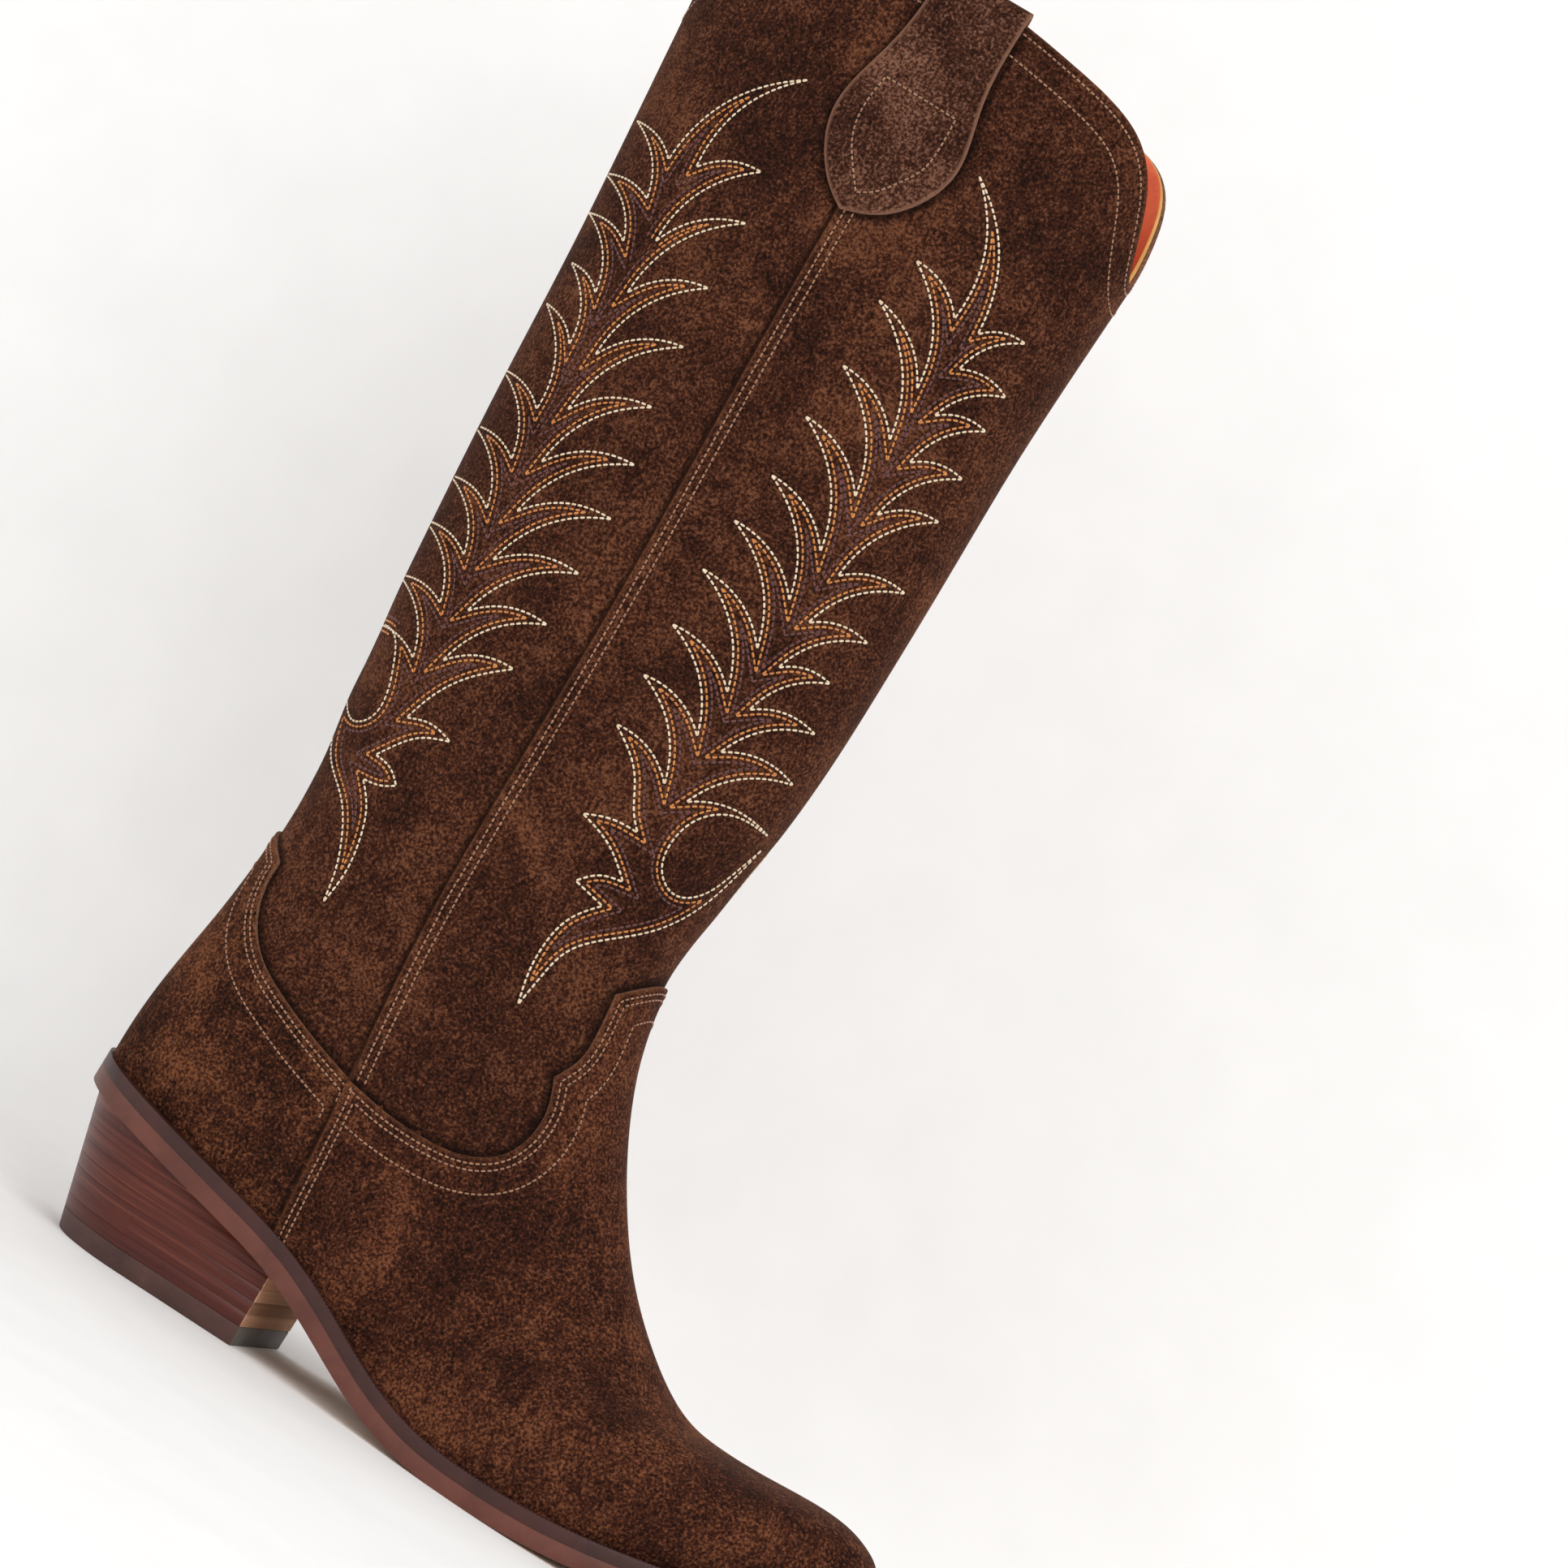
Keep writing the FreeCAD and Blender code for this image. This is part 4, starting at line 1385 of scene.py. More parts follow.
@dataclass(frozen=True)
class ThreadFinish:
    """Twisted thread of one colour, each stitch a little lighter or darker."""

    name: str
    colour: Colour
    shade: Colour

    def build(self) -> bpy.types.Material:
        """Makes the thread's material."""
        finish = Finish(self.name, Roughness=0.55, Sheen_Weight=0.2, Specular_IOR_Level=0.35)
        twist = finish.nodes.add("TexWave", {"Vector": finish.place, "Scale": 900.0, "Distortion": 1.5},
                                 bands_direction="DIAGONAL")
        own = finish.nodes.maths("MULTIPLY", finish.nodes.attribute("copy_tone"), 0.5)
        share = finish.nodes.maths("MULTIPLY_ADD", twist.outputs["Fac"], 0.45, own)
        finish.link(finish.nodes.mixed(share, self.colour, self.shade), "Base Color")
        finish.bump(twist.outputs["Fac"], 0.08 * MM)
        return finish.material


@dataclass(frozen=True)
class SteelFinish:
    """Plain spring steel with fine scratches along the foot."""

    name: str

    def build(self) -> bpy.types.Material:
        """Makes the steel's material."""
        finish = Finish(self.name, Metallic=1.0)
        drawn_out = finish.nodes.add("Mapping", {"Vector": finish.place, "Scale": (40.0, 1500.0, 1500.0)})
        scratch = finish.nodes.noise(drawn_out.outputs[0], 1.0, 3)
        stops = [(0.3, tone(120, 120, 124)), (0.7, tone(170, 170, 172))]
        finish.link(finish.nodes.ramp(scratch, stops), "Base Color")
        finish.link(finish.nodes.spread(scratch, (0.0, 1.0), (0.3, 0.5)), "Roughness")
        return finish.material


class Finishes:
    """Every material of the boot, built once."""

    def __init__(self) -> None:
        """Builds the materials."""
        self.shaft = SuedeFinish(
            "shaft suede", tone(26, 11, 6), tone(60, 31, 20), tone(112, 70, 48), 0.6).build()
        self.vamp = SuedeFinish(
            "vamp suede", tone(26, 11, 6), tone(62, 32, 21), tone(118, 72, 48), 0.7).build()
        self.counter = SuedeFinish(
            "heel cover suede", tone(22, 10, 5), tone(60, 31, 20), tone(120, 74, 48), 0.95).build()
        self.strap = SuedeFinish(
            "strap suede", tone(30, 14, 9), tone(66, 37, 26), tone(128, 90, 72), 0.6, 0.85,
            1.3 * MM).build()
        self.edge = SuedeFinish(
            "suede cut edge", tone(62, 36, 25), tone(100, 66, 48), tone(136, 98, 76), 0.3).build()
        self.strap_edge = SuedeFinish(
            "strap cut edge", tone(84, 56, 44), tone(124, 90, 74), tone(158, 122, 104), 0.3).build()
        self.lining = GrainFinish(
            "orange lining", tone(226, 100, 60), tone(248, 130, 84), 0.55, 900).build()
        self.lining_edge = GrainFinish(
            "lining cut edge", tone(190, 140, 70), tone(222, 176, 104), 0.8).build()
        self.board = GrainFinish("stiffener board", tone(150, 118, 84), tone(182, 150, 112), 0.85).build()
        self.cloth = GrainFinish(
            "interlining cloth", tone(190, 180, 160), tone(214, 206, 188), 0.9, 1600).build()
        self.insole = GrainFinish("insole leather", tone(166, 122, 80), tone(200, 156, 110), 0.7).build()
        self.cork = GrainFinish("cork", tone(120, 84, 50), tone(176, 134, 88), 0.9, 400, 0.4 * MM).build()
        self.steel = SteelFinish("spring steel").build()
        self.welt = GrainFinish(
            "welt leather", tone(46, 19, 14), tone(68, 31, 24), 0.5, 600, 0.1 * MM, 0.06).build()
        self.sole_edge = GrainFinish(
            "sole edge", tone(84, 41, 31), tone(106, 57, 44), 0.48, 500, 0.08 * MM, 0.08).build()
        self.sole_under = GrainFinish(
            "sole grain side", tone(150, 108, 66), tone(186, 142, 94), 0.5, 300).build()
        self.rubber = GrainFinish(
            "top lift rubber", tone(62, 37, 33), tone(84, 54, 47), 0.55, 900).build()
        self.rubber_under = GrainFinish(
            "top lift face", tone(74, 70, 66), tone(104, 98, 92), 0.7, 500).build()
        self.stack = StackFinish("stacked leather").build()
        # Painted shade: the near-black finish of the discs where the needle went through.
        self.hole_shade = GrainFinish("needle hole", tone(16, 8, 5), tone(28, 14, 9), 0.9).build()
        self.seam_thread = ThreadFinish("seam thread", tone(186, 138, 104), tone(140, 92, 62)).build()
        self.cream_thread = ThreadFinish("cream thread", tone(250, 232, 204), tone(222, 190, 150)).build()
        self.orange_thread = ThreadFinish("orange thread", tone(226, 148, 74), tone(184, 106, 44)).build()
        self.plum_thread = ThreadFinish("plum thread", tone(120, 66, 60), tone(84, 42, 38)).build()


# ---- the boot's sub-assemblies


@dataclass
class Upper:
    """The suede panels, the shaft's lining and the pull straps."""

    skin: Skin
    finishes: Finishes
    panels: dict[str, Panel] = field(default_factory=dict)
    strap_trees: dict[int, BVHTree] = field(default_factory=dict)

    STRAP_GAP = 1.1 * MM
    STRAP_INNER = 3.5 * MM
    STRAP_THICKNESS = 1.8 * MM
    STRAP_CREST = 460.4 * MM
    STRAP_INNER_Z = 420 * MM
    STRAP_ROUNDING = 0.3 * MM
    STRAP_COLUMNS = 16
    STRAP_INNER_ROWS = 22
    STRAP_OVER_ROWS = 9
    STRAP_OUTER_ROWS = 44
    TIP_GAP = 0.05 * MM
    VAMP_LIFT = 1.0 * MM
    SHAFT_LIFT = 1.4 * MM
    LIFT_START = 2 * MM
    SEAM_BOTTOM = -0.04
    FOOT_SEAM_BOTTOM = 0.03
    FOOT_SEAM_GAP = 0.5 * MM
    SEAM_TOP = 0.4595
    SEAM_CREST = 0.46

    def build(self) -> None:
        """Builds every panel and both straps."""
        finish = self.finishes
        corner = VAMP_EDGE[0]
        low = seam_between(self.SEAM_BOTTOM, corner[1])
        seam_foot = seam_between(self.FOOT_SEAM_BOTTOM, corner[1] - self.FOOT_SEAM_GAP)
        seam_x = float(np.interp(-self.FOOT_SEAM_BOTTOM, -seam_foot[:, 1], seam_foot[:, 0]))
        front_low = FEATHER[FEATHER[:, 0] > seam_x]
        back_low = FEATHER[FEATHER[:, 0] < seam_x]
        vamp_area = region(VAMP_EDGE, (BEYOND, VAMP_EDGE[-1][1]), (BEYOND, front_low[-1][1]),
                           front_low[::-1], seam_foot[::-1])
        self.panel("vamp_leather", ("vamp",), vamp_area, [VAMP_EDGE, low, FEATHER], SUEDE, SUEDE, Slot.SUEDE,
                   [finish.vamp, finish.edge], self.VAMP_LIFT, low)
        cover_area = region(COUNTER_EDGE, (-BEYOND, COUNTER_EDGE[-1][1]), (-BEYOND, back_low[0][1]),
                            back_low, seam_foot[::-1])
        # The heel cover gets painted shade beside the low seam, where the vamp laps over it.
        self.panel("heel_cover_leather", ("heel_counter_cover",), cover_area, [COUNTER_EDGE, low, FEATHER],
                   SUEDE, SUEDE, Slot.SUEDE, [finish.counter, finish.edge], lapped_by=[low])
        crest_x = np.interp(-self.SEAM_CREST, -SEAM_EDGE[:, 1], SEAM_EDGE[:, 0])
        top_front = TOP_EDGE[TOP_EDGE[:, 0] > crest_x]
        top_back = TOP_EDGE[TOP_EDGE[:, 0] < top_front[0][0]]
        front_seam = seam_between(float(VAMP_HIDDEN[0][1]), self.SEAM_TOP)
        front_area = region(top_front, (BEYOND, top_front[-1][1]), (BEYOND, VAMP_HIDDEN[-1][1]),
                            VAMP_HIDDEN[::-1], front_seam[::-1])
        back_seam = seam_between(float(COUNTER_HIDDEN[0][1]), self.SEAM_TOP)
        back_area = region(top_back[::-1], (-BEYOND, top_back[0][1]), (-BEYOND, COUNTER_HIDDEN[-1][1]),
                           COUNTER_HIDDEN[::-1], back_seam[::-1])
        straps = [drawn(STRAP_FRONT), drawn(STRAP_BACK)]
        for name, nodes, depth, thick, slot, materials, lift in (
                ("shaft_{}_leather", "shaft_{}", 0.0, SUEDE, Slot.SUEDE, [finish.shaft, finish.edge],
                 self.SHAFT_LIFT),
                ("shaft_{}_lining", "shaft_lining_{}", -SUEDE, LINING, Slot.LINING,
                 [finish.lining, finish.lining_edge], 0.0)):
            # The last argument lists the lines beside which the suede finish paints shade.
            self.panel(name.format("front"), (nodes.format("front"),), front_area,
                       [top_front, VAMP_HIDDEN, SEAM_EDGE], depth, thick, slot, materials, lift, SEAM_EDGE,
                       corner[1] + self.LIFT_START, [VAMP_EDGE, *straps])
            self.panel(name.format("back"), (nodes.format("back"),), back_area,
                       [top_back, COUNTER_HIDDEN, SEAM_EDGE], depth, thick, slot, materials,
                       lapped_by=[COUNTER_EDGE, SEAM_EDGE, *straps])
        for sign, side in ((-1, "lateral"), (1, "medial")):
            self.strap(sign, side)

    def panel(self, name: str, nodes: tuple[str, ...], outline: np.ndarray, cuts: list[np.ndarray],
              outer: float, thickness: float, slot: Slot, materials: list[bpy.types.Material],
              lift: float = 0.0, lift_line: np.ndarray | None = None, lift_from: float = -1.0,
              lapped_by: Sequence[np.ndarray] = ()) -> None:
        """Builds one panel and keeps it by name."""
        made = Panel(name, nodes, self.skin, outline, cuts, outer, thickness, slot, materials, lift,
                     lift_line, lift_from, list(lapped_by))
        made.build()
        self.panels[name] = made

    def strap(self, sign: int, side: str) -> None:
        """One pull strap: up the inside, over the topline and down the outside to its lobed point.

        Args:
            sign: -1 for the outer side, 1 for the inner side.
            side: the side's name.
        """
        front = drawn(STRAP_FRONT)
        back = drawn(STRAP_BACK)
        bottom = STRAP_FRONT[-1][1] * MM
        quarter = np.linspace(0, math.pi / 2, self.STRAP_OUTER_ROWS)
        outer_z = bottom + (self.STRAP_CREST - bottom) * (1 - np.cos(quarter))[::-1]
        rows: list[list[Vector]] = []
        for z in np.linspace(self.STRAP_INNER_Z, self.STRAP_CREST, self.STRAP_INNER_ROWS):
            rows.append(self.strap_row(front, back, z, -self.STRAP_INNER, sign, True))
        middle = (self.STRAP_GAP - self.STRAP_INNER) / 2
        radius = (self.STRAP_GAP + self.STRAP_INNER) / 2
        for angle in np.linspace(0, math.pi, self.STRAP_OVER_ROWS)[1:-1]:
            offset = middle - radius * math.cos(angle)
            level = self.strap_row(front, back, self.STRAP_CREST, offset, sign, True)
            rows.append([point + Vector((0, 0, radius * math.sin(angle))) for point in level])
        for z in outer_z:
            height = max(z, bottom + self.TIP_GAP)
            rows.append(self.strap_row(front, back, height, self.STRAP_GAP, sign, False))
        bm = sheet_of(rows, self.STRAP_COLUMNS, closed=False)
        bmesh.ops.remove_doubles(bm, verts=bm.verts, dist=0.05 * MM)
        bm.normal_update()
        lowest = min(bm.faces, key=lambda face: face.calc_center_median().z)
        if lowest.normal.y * sign < 0:
            bmesh.ops.reverse_faces(bm, faces=bm.faces)
            bm.normal_update()
        edge_layer = bm.verts.layers.float.new("edge_gap")
        lap_layer = bm.verts.layers.float.new("lap_gap")
        edge = [vert.co.copy() for vert in bm.verts if vert.is_boundary]
        for vert in bm.verts:
            vert[edge_layer] = min((vert.co - point).length for point in edge)
            vert[lap_layer] = Panel.FAR
        outside = bm.copy()
        for vert in outside.verts:
            vert.co += vert.normal * (self.STRAP_THICKNESS / 2)
        self.strap_trees[sign] = BVHTree.FromBMesh(outside)
        outside.free()
        name = "pull_strap_" + side
        mesh = finished_mesh(bm, name + "_leather")
        piece = make_piece(name + "_leather", mesh,
                           [self.finishes.strap, self.finishes.strap_edge], (name,))
        thicken(piece, self.STRAP_THICKNESS, 0, self.STRAP_ROUNDING, clamp=True)

    def strap_row(self, front: np.ndarray, back: np.ndarray, z: float, offset: float, sign: int,
                  neck: bool) -> list[Vector]:
        """One row of a strap across its width.

        Args:
            front: the strap's front edge in the side view.
            back: its back edge.
            z: the row's height.
            offset: the row's distance outwards from the skin.
            sign: -1 for the outer side, 1 for the inner side.
            neck: whether the row keeps the width of the strap's straight neck.

        Returns:
            The row's points, from the back edge to the front.
        """
        at = max(z, STRAP_FRONT[1][1] * MM) if neck else z
        low = float(np.interp(-at, -back[:, 1], back[:, 0]))
        high = float(np.interp(-at, -front[:, 1], front[:, 0]))
        row = []
        for share in np.linspace(0, 1, self.STRAP_COLUMNS + 1):
            hit = self.skin.side_point(low + (high - low) * share, z, sign)
            assert hit is not None
            row.append(hit[0] + hit[1] * offset)
        return row


@dataclass
class Stitching:
    """The seam rows on every panel edge and the flames on the shaft."""

    upper: Upper
    finishes: Finishes

    LAP_ROWS = (2 * MM, 4 * MM)
    WIDE_ROW = 11 * MM
    SEAM_ROWS = (2.1 * MM, 4.6 * MM)
    TOP_ROWS = (2.5 * MM, 10 * MM)
    RUN_BACK = 12 * MM
    WIDE_CLEARANCE = 5 * MM
    COVER_CLEARANCE = 0.8 * MM
    FLAME_ROWS = (0.0, 1.5, 3.0)
    FLAME_PITCH = 2.07 * MM
    FLAME_WIDTH = 0.72 * MM
    FLAME_SHARE = 0.84
    FLAME_STEP = 0.5 * MM
    FLAME_BREAK = 3 * MM
    SHIELD_POINT = 4

    def build(self) -> None:
        """Sews every row."""
        finish = self.finishes
        panels = self.upper.panels
        seams = Thread("seam_stitches", Slot.SUEDE, finish.seam_thread, finish.hole_shade)
        skin = self.upper.skin
        foot_seam = seam_between(FEATHER[:, 1].min(), VAMP_EDGE[0][1])
        foot_seam = foot_seam[foot_seam[:, 1] > np.interp(foot_seam[:, 0], FEATHER[:, 0], FEATHER[:, 1])]
        vamp_edge = skin.around(np.concatenate([foot_seam[::-1], VAMP_EDGE]))
        vamp_top = skin.around(run_back(VAMP_EDGE, self.RUN_BACK))
        foot_sides = np.concatenate([skin.on_side(foot_seam, sign) for sign in (-1, 1)])
        counter_edge = skin.around(run_back(COUNTER_EDGE, self.RUN_BACK))
        crest = int(np.argmax(TOP_EDGE[:, 1]))
        seams_up = [skin.on_side(SEAM_EDGE[SEAM_EDGE[:, 1] > VAMP_EDGE[0][1]], sign) for sign in (-1, 1)]
        top_front = skin.around(TOP_EDGE[crest:])
        top_back = skin.around(TOP_EDGE[crest::-1])
        for name, runs, widths, clear_of, clearance in (
                ("vamp_leather", [vamp_edge], self.LAP_ROWS, None, 0.0),
                ("vamp_leather", [vamp_top], (self.WIDE_ROW,), foot_sides, self.WIDE_CLEARANCE),
                ("heel_cover_leather", [counter_edge], (*self.LAP_ROWS, self.WIDE_ROW), foot_sides,
                 self.COVER_CLEARANCE),
                ("shaft_front_leather", seams_up, self.SEAM_ROWS, None, 0.0),
                ("shaft_front_leather", [top_front], self.TOP_ROWS, None, 0.0),
                ("shaft_back_leather", [top_back], self.TOP_ROWS, None, 0.0)):
            panel = panels[name]
            for run in runs:
                for width in widths:
                    for row in panel.row_inside(run, width, clear_of, clearance):
                        seams.sew(row, panel.tree, skin.tree)
        shield_left = drawn(STRAP_SHIELD[:self.SHIELD_POINT + 1], 1.0)
        shield_right = drawn(STRAP_SHIELD[self.SHIELD_POINT:], 1.0)
        shield_top = resampled(np.array([STRAP_SHIELD[-1], STRAP_SHIELD[0]], float) * MM, 1 * MM)
        for sign, tree in self.upper.strap_trees.items():
            for line in (shield_left, shield_right, shield_top):
                seams.sew(self.thrown(line, tree, sign), tree)
        seams.finish()
        colours = (("cream", finish.cream_thread), ("orange", finish.orange_thread),
                   ("plum", finish.plum_thread))
        for part, feather in (("front", FRONT_FEATHER), ("back", BACK_FEATHER)):
            tree = panels["shaft_{}_leather".format(part)].tree
            for inset, (colour, material) in zip(self.FLAME_ROWS, colours):
                thread = Thread("flame_{}_{}".format(part, colour), Slot.SUEDE, material, finish.hole_shade,
                                self.FLAME_PITCH, self.FLAME_WIDTH, self.FLAME_SHARE)
                for edge in feather.rows(inset):
                    for sign in (-1, 1):
                        for run in self.sighted(resampled(edge * MM, self.FLAME_STEP), tree, sign):
                            thread.sew(run, tree, skin.tree)
                thread.finish()

    @staticmethod
    def thrown(line: np.ndarray, tree: BVHTree, sign: int) -> np.ndarray:
        """A side-view line thrown onto a surface from one side."""
        points = []
        for x, z in line:
            hit = tree.ray_cast(Vector((x, sign * VIEW_FROM, z)), Vector((0, -sign, 0)))[0]
            if hit is not None:
                points.append(hit)
        return np.array(points)

    @staticmethod
    def sighted(line: np.ndarray, tree: BVHTree, sign: int) -> list[np.ndarray]:
        """A line of the flames' drawing laid on a surface, in the stretches that reach it."""
        sight = Sight()
        points = []
        for x, z in line:
            hit = tree.ray_cast(*sight.ray(x, z, sign))[0]
            if hit is not None:
                points.append(hit)
        if not points:
            return []
        return stretches(np.array(points), [True] * len(points), Stitching.FLAME_BREAK)


FLAT_ANGLE = 0.6
SHARP_ANGLE = 40
SHADED_ANGLE = 35


def softened(name: str, node: str, materials: Sequence[bpy.types.Material], width: float,
             segments: int = 2, dress: Callable[[bmesh.types.BMesh], None] | None = None) -> bpy.types.Object:
    """A CAD node's shape with its loose triangles joined and its sharp edges rounded.

    Args:
        name: the new piece's name.
        node: the CAD node that it stands for.
        materials: its materials.
        width: the rounding's width.
        segments: faces across the rounding.
        dress: a last change to the mesh, such as which face has which material.

    Returns:
        The piece.
    """
    bm = bmesh.new()
    bm.from_mesh(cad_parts[node].data)
    bmesh.ops.remove_doubles(bm, verts=bm.verts, dist=0.01 * MM)
    bmesh.ops.dissolve_limit(bm, angle_limit=math.radians(FLAT_ANGLE), verts=bm.verts, edges=bm.edges)
    sharp = [edge for edge in bm.edges
             if len(edge.link_faces) == 2 and edge.calc_face_angle(0) > math.radians(SHARP_ANGLE)]
    bmesh.ops.bevel(bm, geom=sharp, offset=width, offset_type="OFFSET", segments=segments, profile=0.5,
                    affect="EDGES", material=-1, clamp_overlap=True)
    bm.normal_update()
    if dress:
        dress(bm)
    mesh = finished_mesh(bm, name)
    mesh.set_sharp_from_angle(angle=math.radians(SHADED_ANGLE))
    return make_piece(name, mesh, materials, (node,))


@dataclass
class Bottom:
    """The welt, the outsole and the stacked heel."""

    finishes: Finishes

    BUMP_PITCH = 1.35 * MM
    BUMP_INSET = 0.9 * MM
    BUMP_SHARE = 0.82
    BUMP_WIDTH = 1.3 * MM
    BUMP_HEIGHT = 0.9 * MM
    BUMP_SINK = 0.12 * MM
    BUMPS_FROM_X = 0.046
    STITCH_INSET = 6 * MM
    STITCHES_FROM_X = 0.048
    STITCH_PITCH = 3.0 * MM
    STITCH_WIDTH = 0.8 * MM
    STITCH_SHARE = 0.8
    OPEN_GAP = 0.01
    LIFT_ROUNDING = 0.14 * MM

    def build(self) -> None:
        """Builds the bottom's pieces."""
        finish = self.finishes
        softened("welt_strip", "welt", [finish.welt], 0.7 * MM)
        softened("outsole_leather", "outsole", [finish.sole_edge, finish.sole_under], 0.5 * MM,
                 dress=self.paint_under)
        softened("top_lift_block", "top_lift", [finish.rubber, finish.rubber_under],
                 0.5 * MM, dress=self.paint_face)
        for node in sorted(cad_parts):
            if node.startswith("heel_lift_"):
                softened(node.replace("heel_lift", "heel_layer"), node, [finish.stack],
                         self.LIFT_ROUNDING, 1)
        self.wheel_bumps()
        self.sole_stitches()

    @staticmethod
    def paint_under(bm: bmesh.types.BMesh) -> None:
        """Gives the tread side its own finish."""
        for face in bm.faces:
            if face.normal.z < -0.6:
                face.material_index = 1

    @staticmethod
    def paint_face(bm: bmesh.types.BMesh) -> None:
        """Gives the lift's ground and breast faces their own finish."""
        for face in bm.faces:
            if face.normal.z < -0.7 or face.normal.x > 0.7:
                face.material_index = 1

    def outline_row(self, inset: float) -> np.ndarray:
        """The sole's outline in plan, moved inwards."""
        line = drawn(OUTLINE, 1.0, closed=True)
        way = np.gradient(line, axis=0)
        way[0] = way[-1] = line[1] - line[-2]
        way /= np.linalg.norm(way, axis=1)[:, None]
        return line + np.stack([-way[:, 1], way[:, 0]], axis=1) * inset

    @staticmethod
    def at_height(row: np.ndarray, height: float) -> np.ndarray:
        """Plan points lifted to a height above the tread line."""
        line = raised(drawn(TREAD), height)
        return np.column_stack([row, np.interp(row[:, 0], line[:, 0], line[:, 1])])

    def wheel_bumps(self) -> None:
        """The row of small bumps that a wheel presses into the welt's upper edge."""
        up = Vector((0, 0, 1))
        row = resampled(self.at_height(self.outline_row(self.BUMP_INSET), OUTSOLE + WELT), self.BUMP_PITCH)
        places = []
        for here, after in zip(row, row[1:]):
            if here[0] > self.BUMPS_FROM_X:
                way = Vector(after - here).normalized()
                turn = Matrix((way, up.cross(way), up)).transposed().to_4x4()
                length = self.BUMP_PITCH * self.BUMP_SHARE
                size = Matrix.Diagonal((length, self.BUMP_WIDTH, self.BUMP_HEIGHT, 1))
                places.append(Matrix.Translation(Vector(here) - up * self.BUMP_SINK) @ turn @ size)
        bm = bmesh.new()
        bmesh.ops.create_uvsphere(bm, u_segments=8, v_segments=5, radius=0.5)
        stamped("welt_bumps", bm, places, self.finishes.welt, True)

    def sole_stitches(self) -> None:
        """The stitch row in the sole's channel under the front of the foot."""
        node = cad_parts["outsole"]
        tree = BVHTree.FromPolygons([vert.co for vert in node.data.vertices],
                                    [tuple(face.vertices) for face in node.data.polygons])
        row = self.at_height(self.outline_row(self.STITCH_INSET), 0.0)
        front = row[row[:, 0] > self.STITCHES_FROM_X]
        steps = np.linalg.norm(np.diff(front, axis=0), axis=1)
        widest = int(np.argmax(steps))
        thread = Thread("sole_stitches", Slot.SOLE, self.finishes.seam_thread, self.finishes.hole_shade,
                        self.STITCH_PITCH, self.STITCH_WIDTH, self.STITCH_SHARE)
        run = np.roll(front, -widest - 1, axis=0) if steps[widest] > self.OPEN_GAP else front
        thread.sew(run, tree)
        thread.finish()


@dataclass
class Inside:
    """The CAD pieces that stay as they are, each with its own finish."""

    finishes: Finishes

    def build(self) -> None:
        """Dresses the hidden and inner pieces."""
        finish = self.finishes
        looks = {"vamp_lining": finish.lining, "heel_lining": finish.lining, "sock_liner": finish.lining,
                 "toe_puff": finish.board, "heel_stiffener": finish.board, "vamp_interlining": finish.cloth,
                 "insole_board": finish.insole, "cork_filler": finish.cork, "steel_shank": finish.steel,
                 "heel_nails": finish.steel}
        for node, material in looks.items():
            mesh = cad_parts[node].data
            mesh.materials.clear()
            mesh.materials.append(material)
            LOG.info("%s: dressed", node)


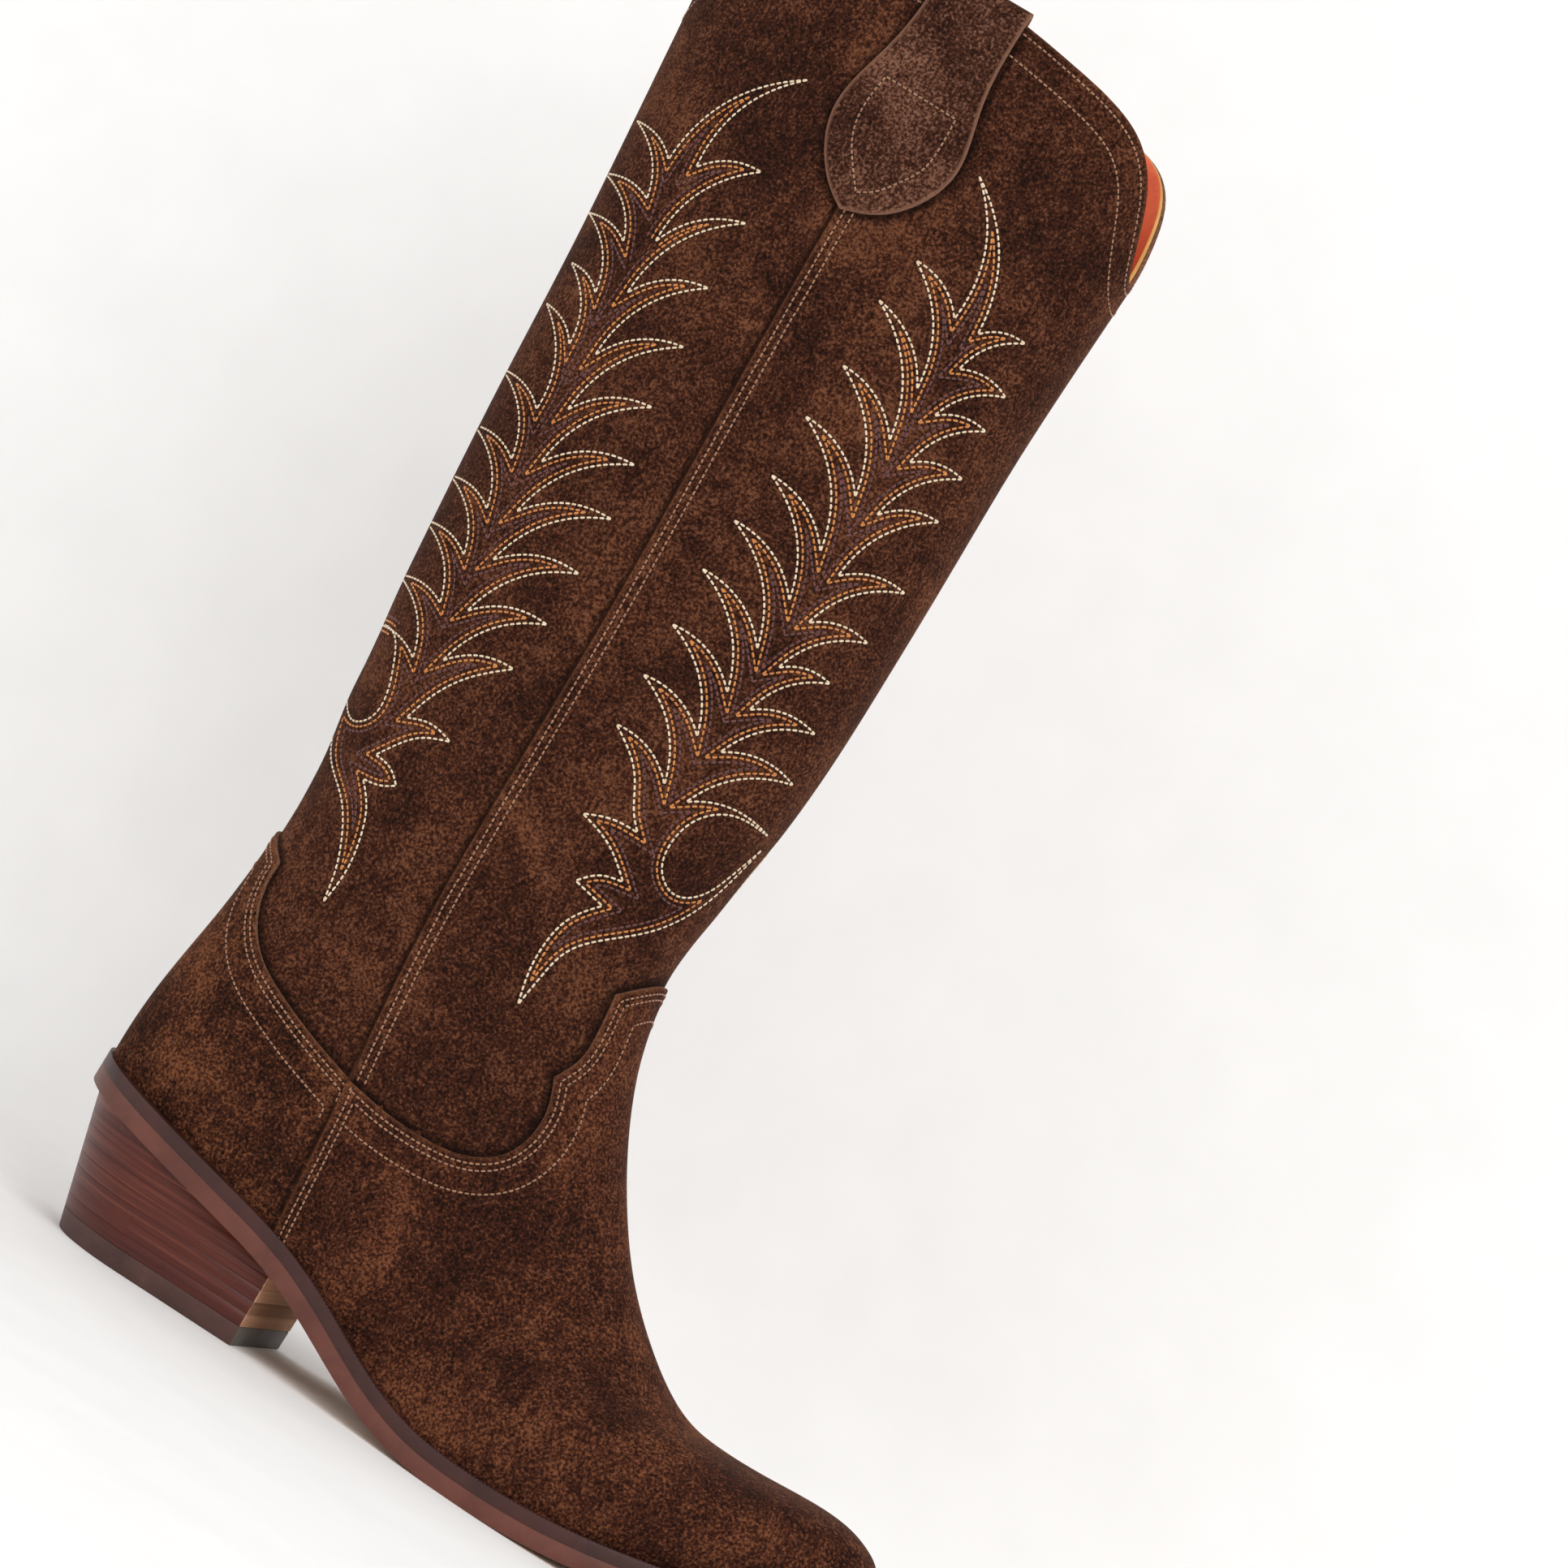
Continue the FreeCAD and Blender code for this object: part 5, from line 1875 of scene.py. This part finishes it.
@dataclass
class Studio:
    """The pale room, the soft lights and the camera."""

    centre: Vector = field(default_factory=lambda: Vector((0.084, 0.0, 0.230)))
    view_width: float = 0.473
    lens: float = 135.0
    sensor: float = 36.0
    turn: float = 13.0
    roll: float = 31.5

    ROOM = 4.0
    WALL_FOOT = 0.15
    WALL_BEND = 0.08
    BEND_POINTS = 12
    FADE_FROM = 0.55
    FADE_TO = 1.3
    SKY = 0.66
    PAPER = tone(249, 248, 246)
    LAMPS = (("key", (1.15, -1.45, 1.3), 1.5, 23.0), ("fill", (-1.4, -1.1, 0.7), 1.2, 6.0),
             ("back", (-0.3, 1.7, 1.3), 1.4, 16.0))

    def build(self) -> None:
        """Builds the room, lights it and places the camera."""
        self.room()
        self.lights()
        self.camera()

    def room(self) -> None:
        """A pale floor and a wall that curves up behind the boot, both fading into the sky far off."""
        finish = Finish("studio paper", Roughness=0.95, Specular_IOR_Level=0.1)
        nodes = finish.nodes
        paper = nodes.noise(finish.place, 30, 2)
        stops = [(0.3, tone(248, 247, 246)), (0.7, tone(251, 250, 249))]
        finish.link(nodes.ramp(paper, stops), "Base Color")
        self.fade_out(finish)
        bend = [(self.WALL_FOOT + self.WALL_BEND * math.sin(angle), self.WALL_BEND * (1 - math.cos(angle)))
                for angle in np.linspace(0, math.pi / 2, self.BEND_POINTS)]
        wall = [(-self.ROOM, 0.0), *bend, (bend[-1][0], self.ROOM)]
        floor = [(self.WALL_FOOT, 0.0), (self.ROOM, 0.0)]
        for name, outline in (("studio_wall", wall), ("studio_floor", floor)):
            bm = bmesh.new()
            verts = [bm.verts.new((-self.ROOM, y, z)) for y, z in outline]
            edges = [bm.edges.new(pair) for pair in zip(verts, verts[1:])]
            made = bmesh.ops.extrude_edge_only(bm, edges=edges)
            far = [vert for vert in made["geom"] if isinstance(vert, bmesh.types.BMVert)]
            bmesh.ops.translate(bm, vec=(2 * self.ROOM, 0, 0), verts=far)
            bmesh.ops.recalc_face_normals(bm, faces=bm.faces)
            if min(bm.faces, key=lambda face: face.calc_center_median().z).normal.z < 0:
                bmesh.ops.reverse_faces(bm, faces=bm.faces)
            mesh = finished_mesh(bm, name)
            mesh.materials.append(finish.material)
            sheet = bpy.data.objects.new(name, mesh)
            bpy.context.scene.collection.objects.link(sheet)

    def fade_out(self, finish: Finish) -> None:
        """Clears the paper seen from behind and far from the boot.

        Args:
            finish: the paper's finish.
        """
        nodes = finish.nodes
        away = nodes.add("VectorMath", {0: finish.place}, operation="LENGTH").outputs["Value"]
        far = nodes.spread(away, (self.FADE_FROM, self.FADE_TO), (0.0, 1.0), smooth=True)
        behind = nodes.add("NewGeometry").outputs["Backfacing"]
        clear = nodes.add("BsdfTransparent").outputs[0]
        share = nodes.maths("MAXIMUM", far, behind)
        mix = nodes.add("MixShader", {0: share, 1: finish.shader.outputs[0], 2: clear})
        output = next(node for node in nodes.tree.nodes if node.type == "OUTPUT_MATERIAL")
        nodes.tree.links.new(mix.outputs[0], output.inputs["Surface"])

    def lights(self) -> None:
        """A large soft key from the upper front, a fill from the back and an even sky."""
        world = bpy.data.worlds.new("studio")
        world.use_nodes = True
        nodes = Nodes(world.node_tree)
        seen = nodes.add("LightPath").outputs["Is Camera Ray"]
        sky = nodes.add("Background", {"Color": (1.0, 0.99, 0.98, 1.0), "Strength": self.SKY})
        paper = nodes.add("Background", {"Color": self.PAPER, "Strength": 1.0})
        mix = nodes.add("MixShader", {0: seen, 1: sky.outputs[0], 2: paper.outputs[0]})
        output = next(node for node in world.node_tree.nodes if node.type == "OUTPUT_WORLD")
        nodes.tree.links.new(mix.outputs[0], output.inputs["Surface"])
        bpy.context.scene.world = world
        for name, place, size, power in self.LAMPS:
            lamp = bpy.data.lights.new(name, "AREA")
            lamp.size = size
            lamp.energy = power
            light = bpy.data.objects.new(name, lamp)
            bpy.context.scene.collection.objects.link(light)
            light.location = place
            light.rotation_euler = (self.centre - Vector(place)).to_track_quat("-Z", "Y").to_euler()

    def camera(self) -> None:
        """A long lens level with the boot's middle, rolled as the boot is shown."""
        lens = bpy.data.cameras.new("camera")
        lens.lens = self.lens
        lens.sensor_width = self.sensor
        distance = self.view_width * self.lens / self.sensor
        turn = math.radians(self.turn)
        back = Vector((math.sin(turn), -math.cos(turn), 0))
        camera = bpy.data.objects.new("camera", lens)
        bpy.context.scene.collection.objects.link(camera)
        upright = (-back).to_track_quat("-Z", "Y").to_matrix()
        camera.matrix_world = (Matrix.Translation(self.centre + back * distance)
                               @ (upright @ Matrix.Rotation(math.radians(self.roll), 3, "Z")).to_4x4())
        lens.clip_end = 50
        bpy.context.scene.camera = camera
        bpy.context.scene.view_settings.view_transform = "Standard"


def main() -> None:
    """Builds the boot and its studio."""
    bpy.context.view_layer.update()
    finishes = Finishes()
    skin = Skin()
    upper = Upper(skin, finishes)
    upper.build()
    Stitching(upper, finishes).build()
    Bottom(finishes).build()
    Inside(finishes).build()
    Studio().build()


if __name__ == "__main__":
    logging.basicConfig(level=logging.INFO, format="%(name)s %(message)s")
    main()
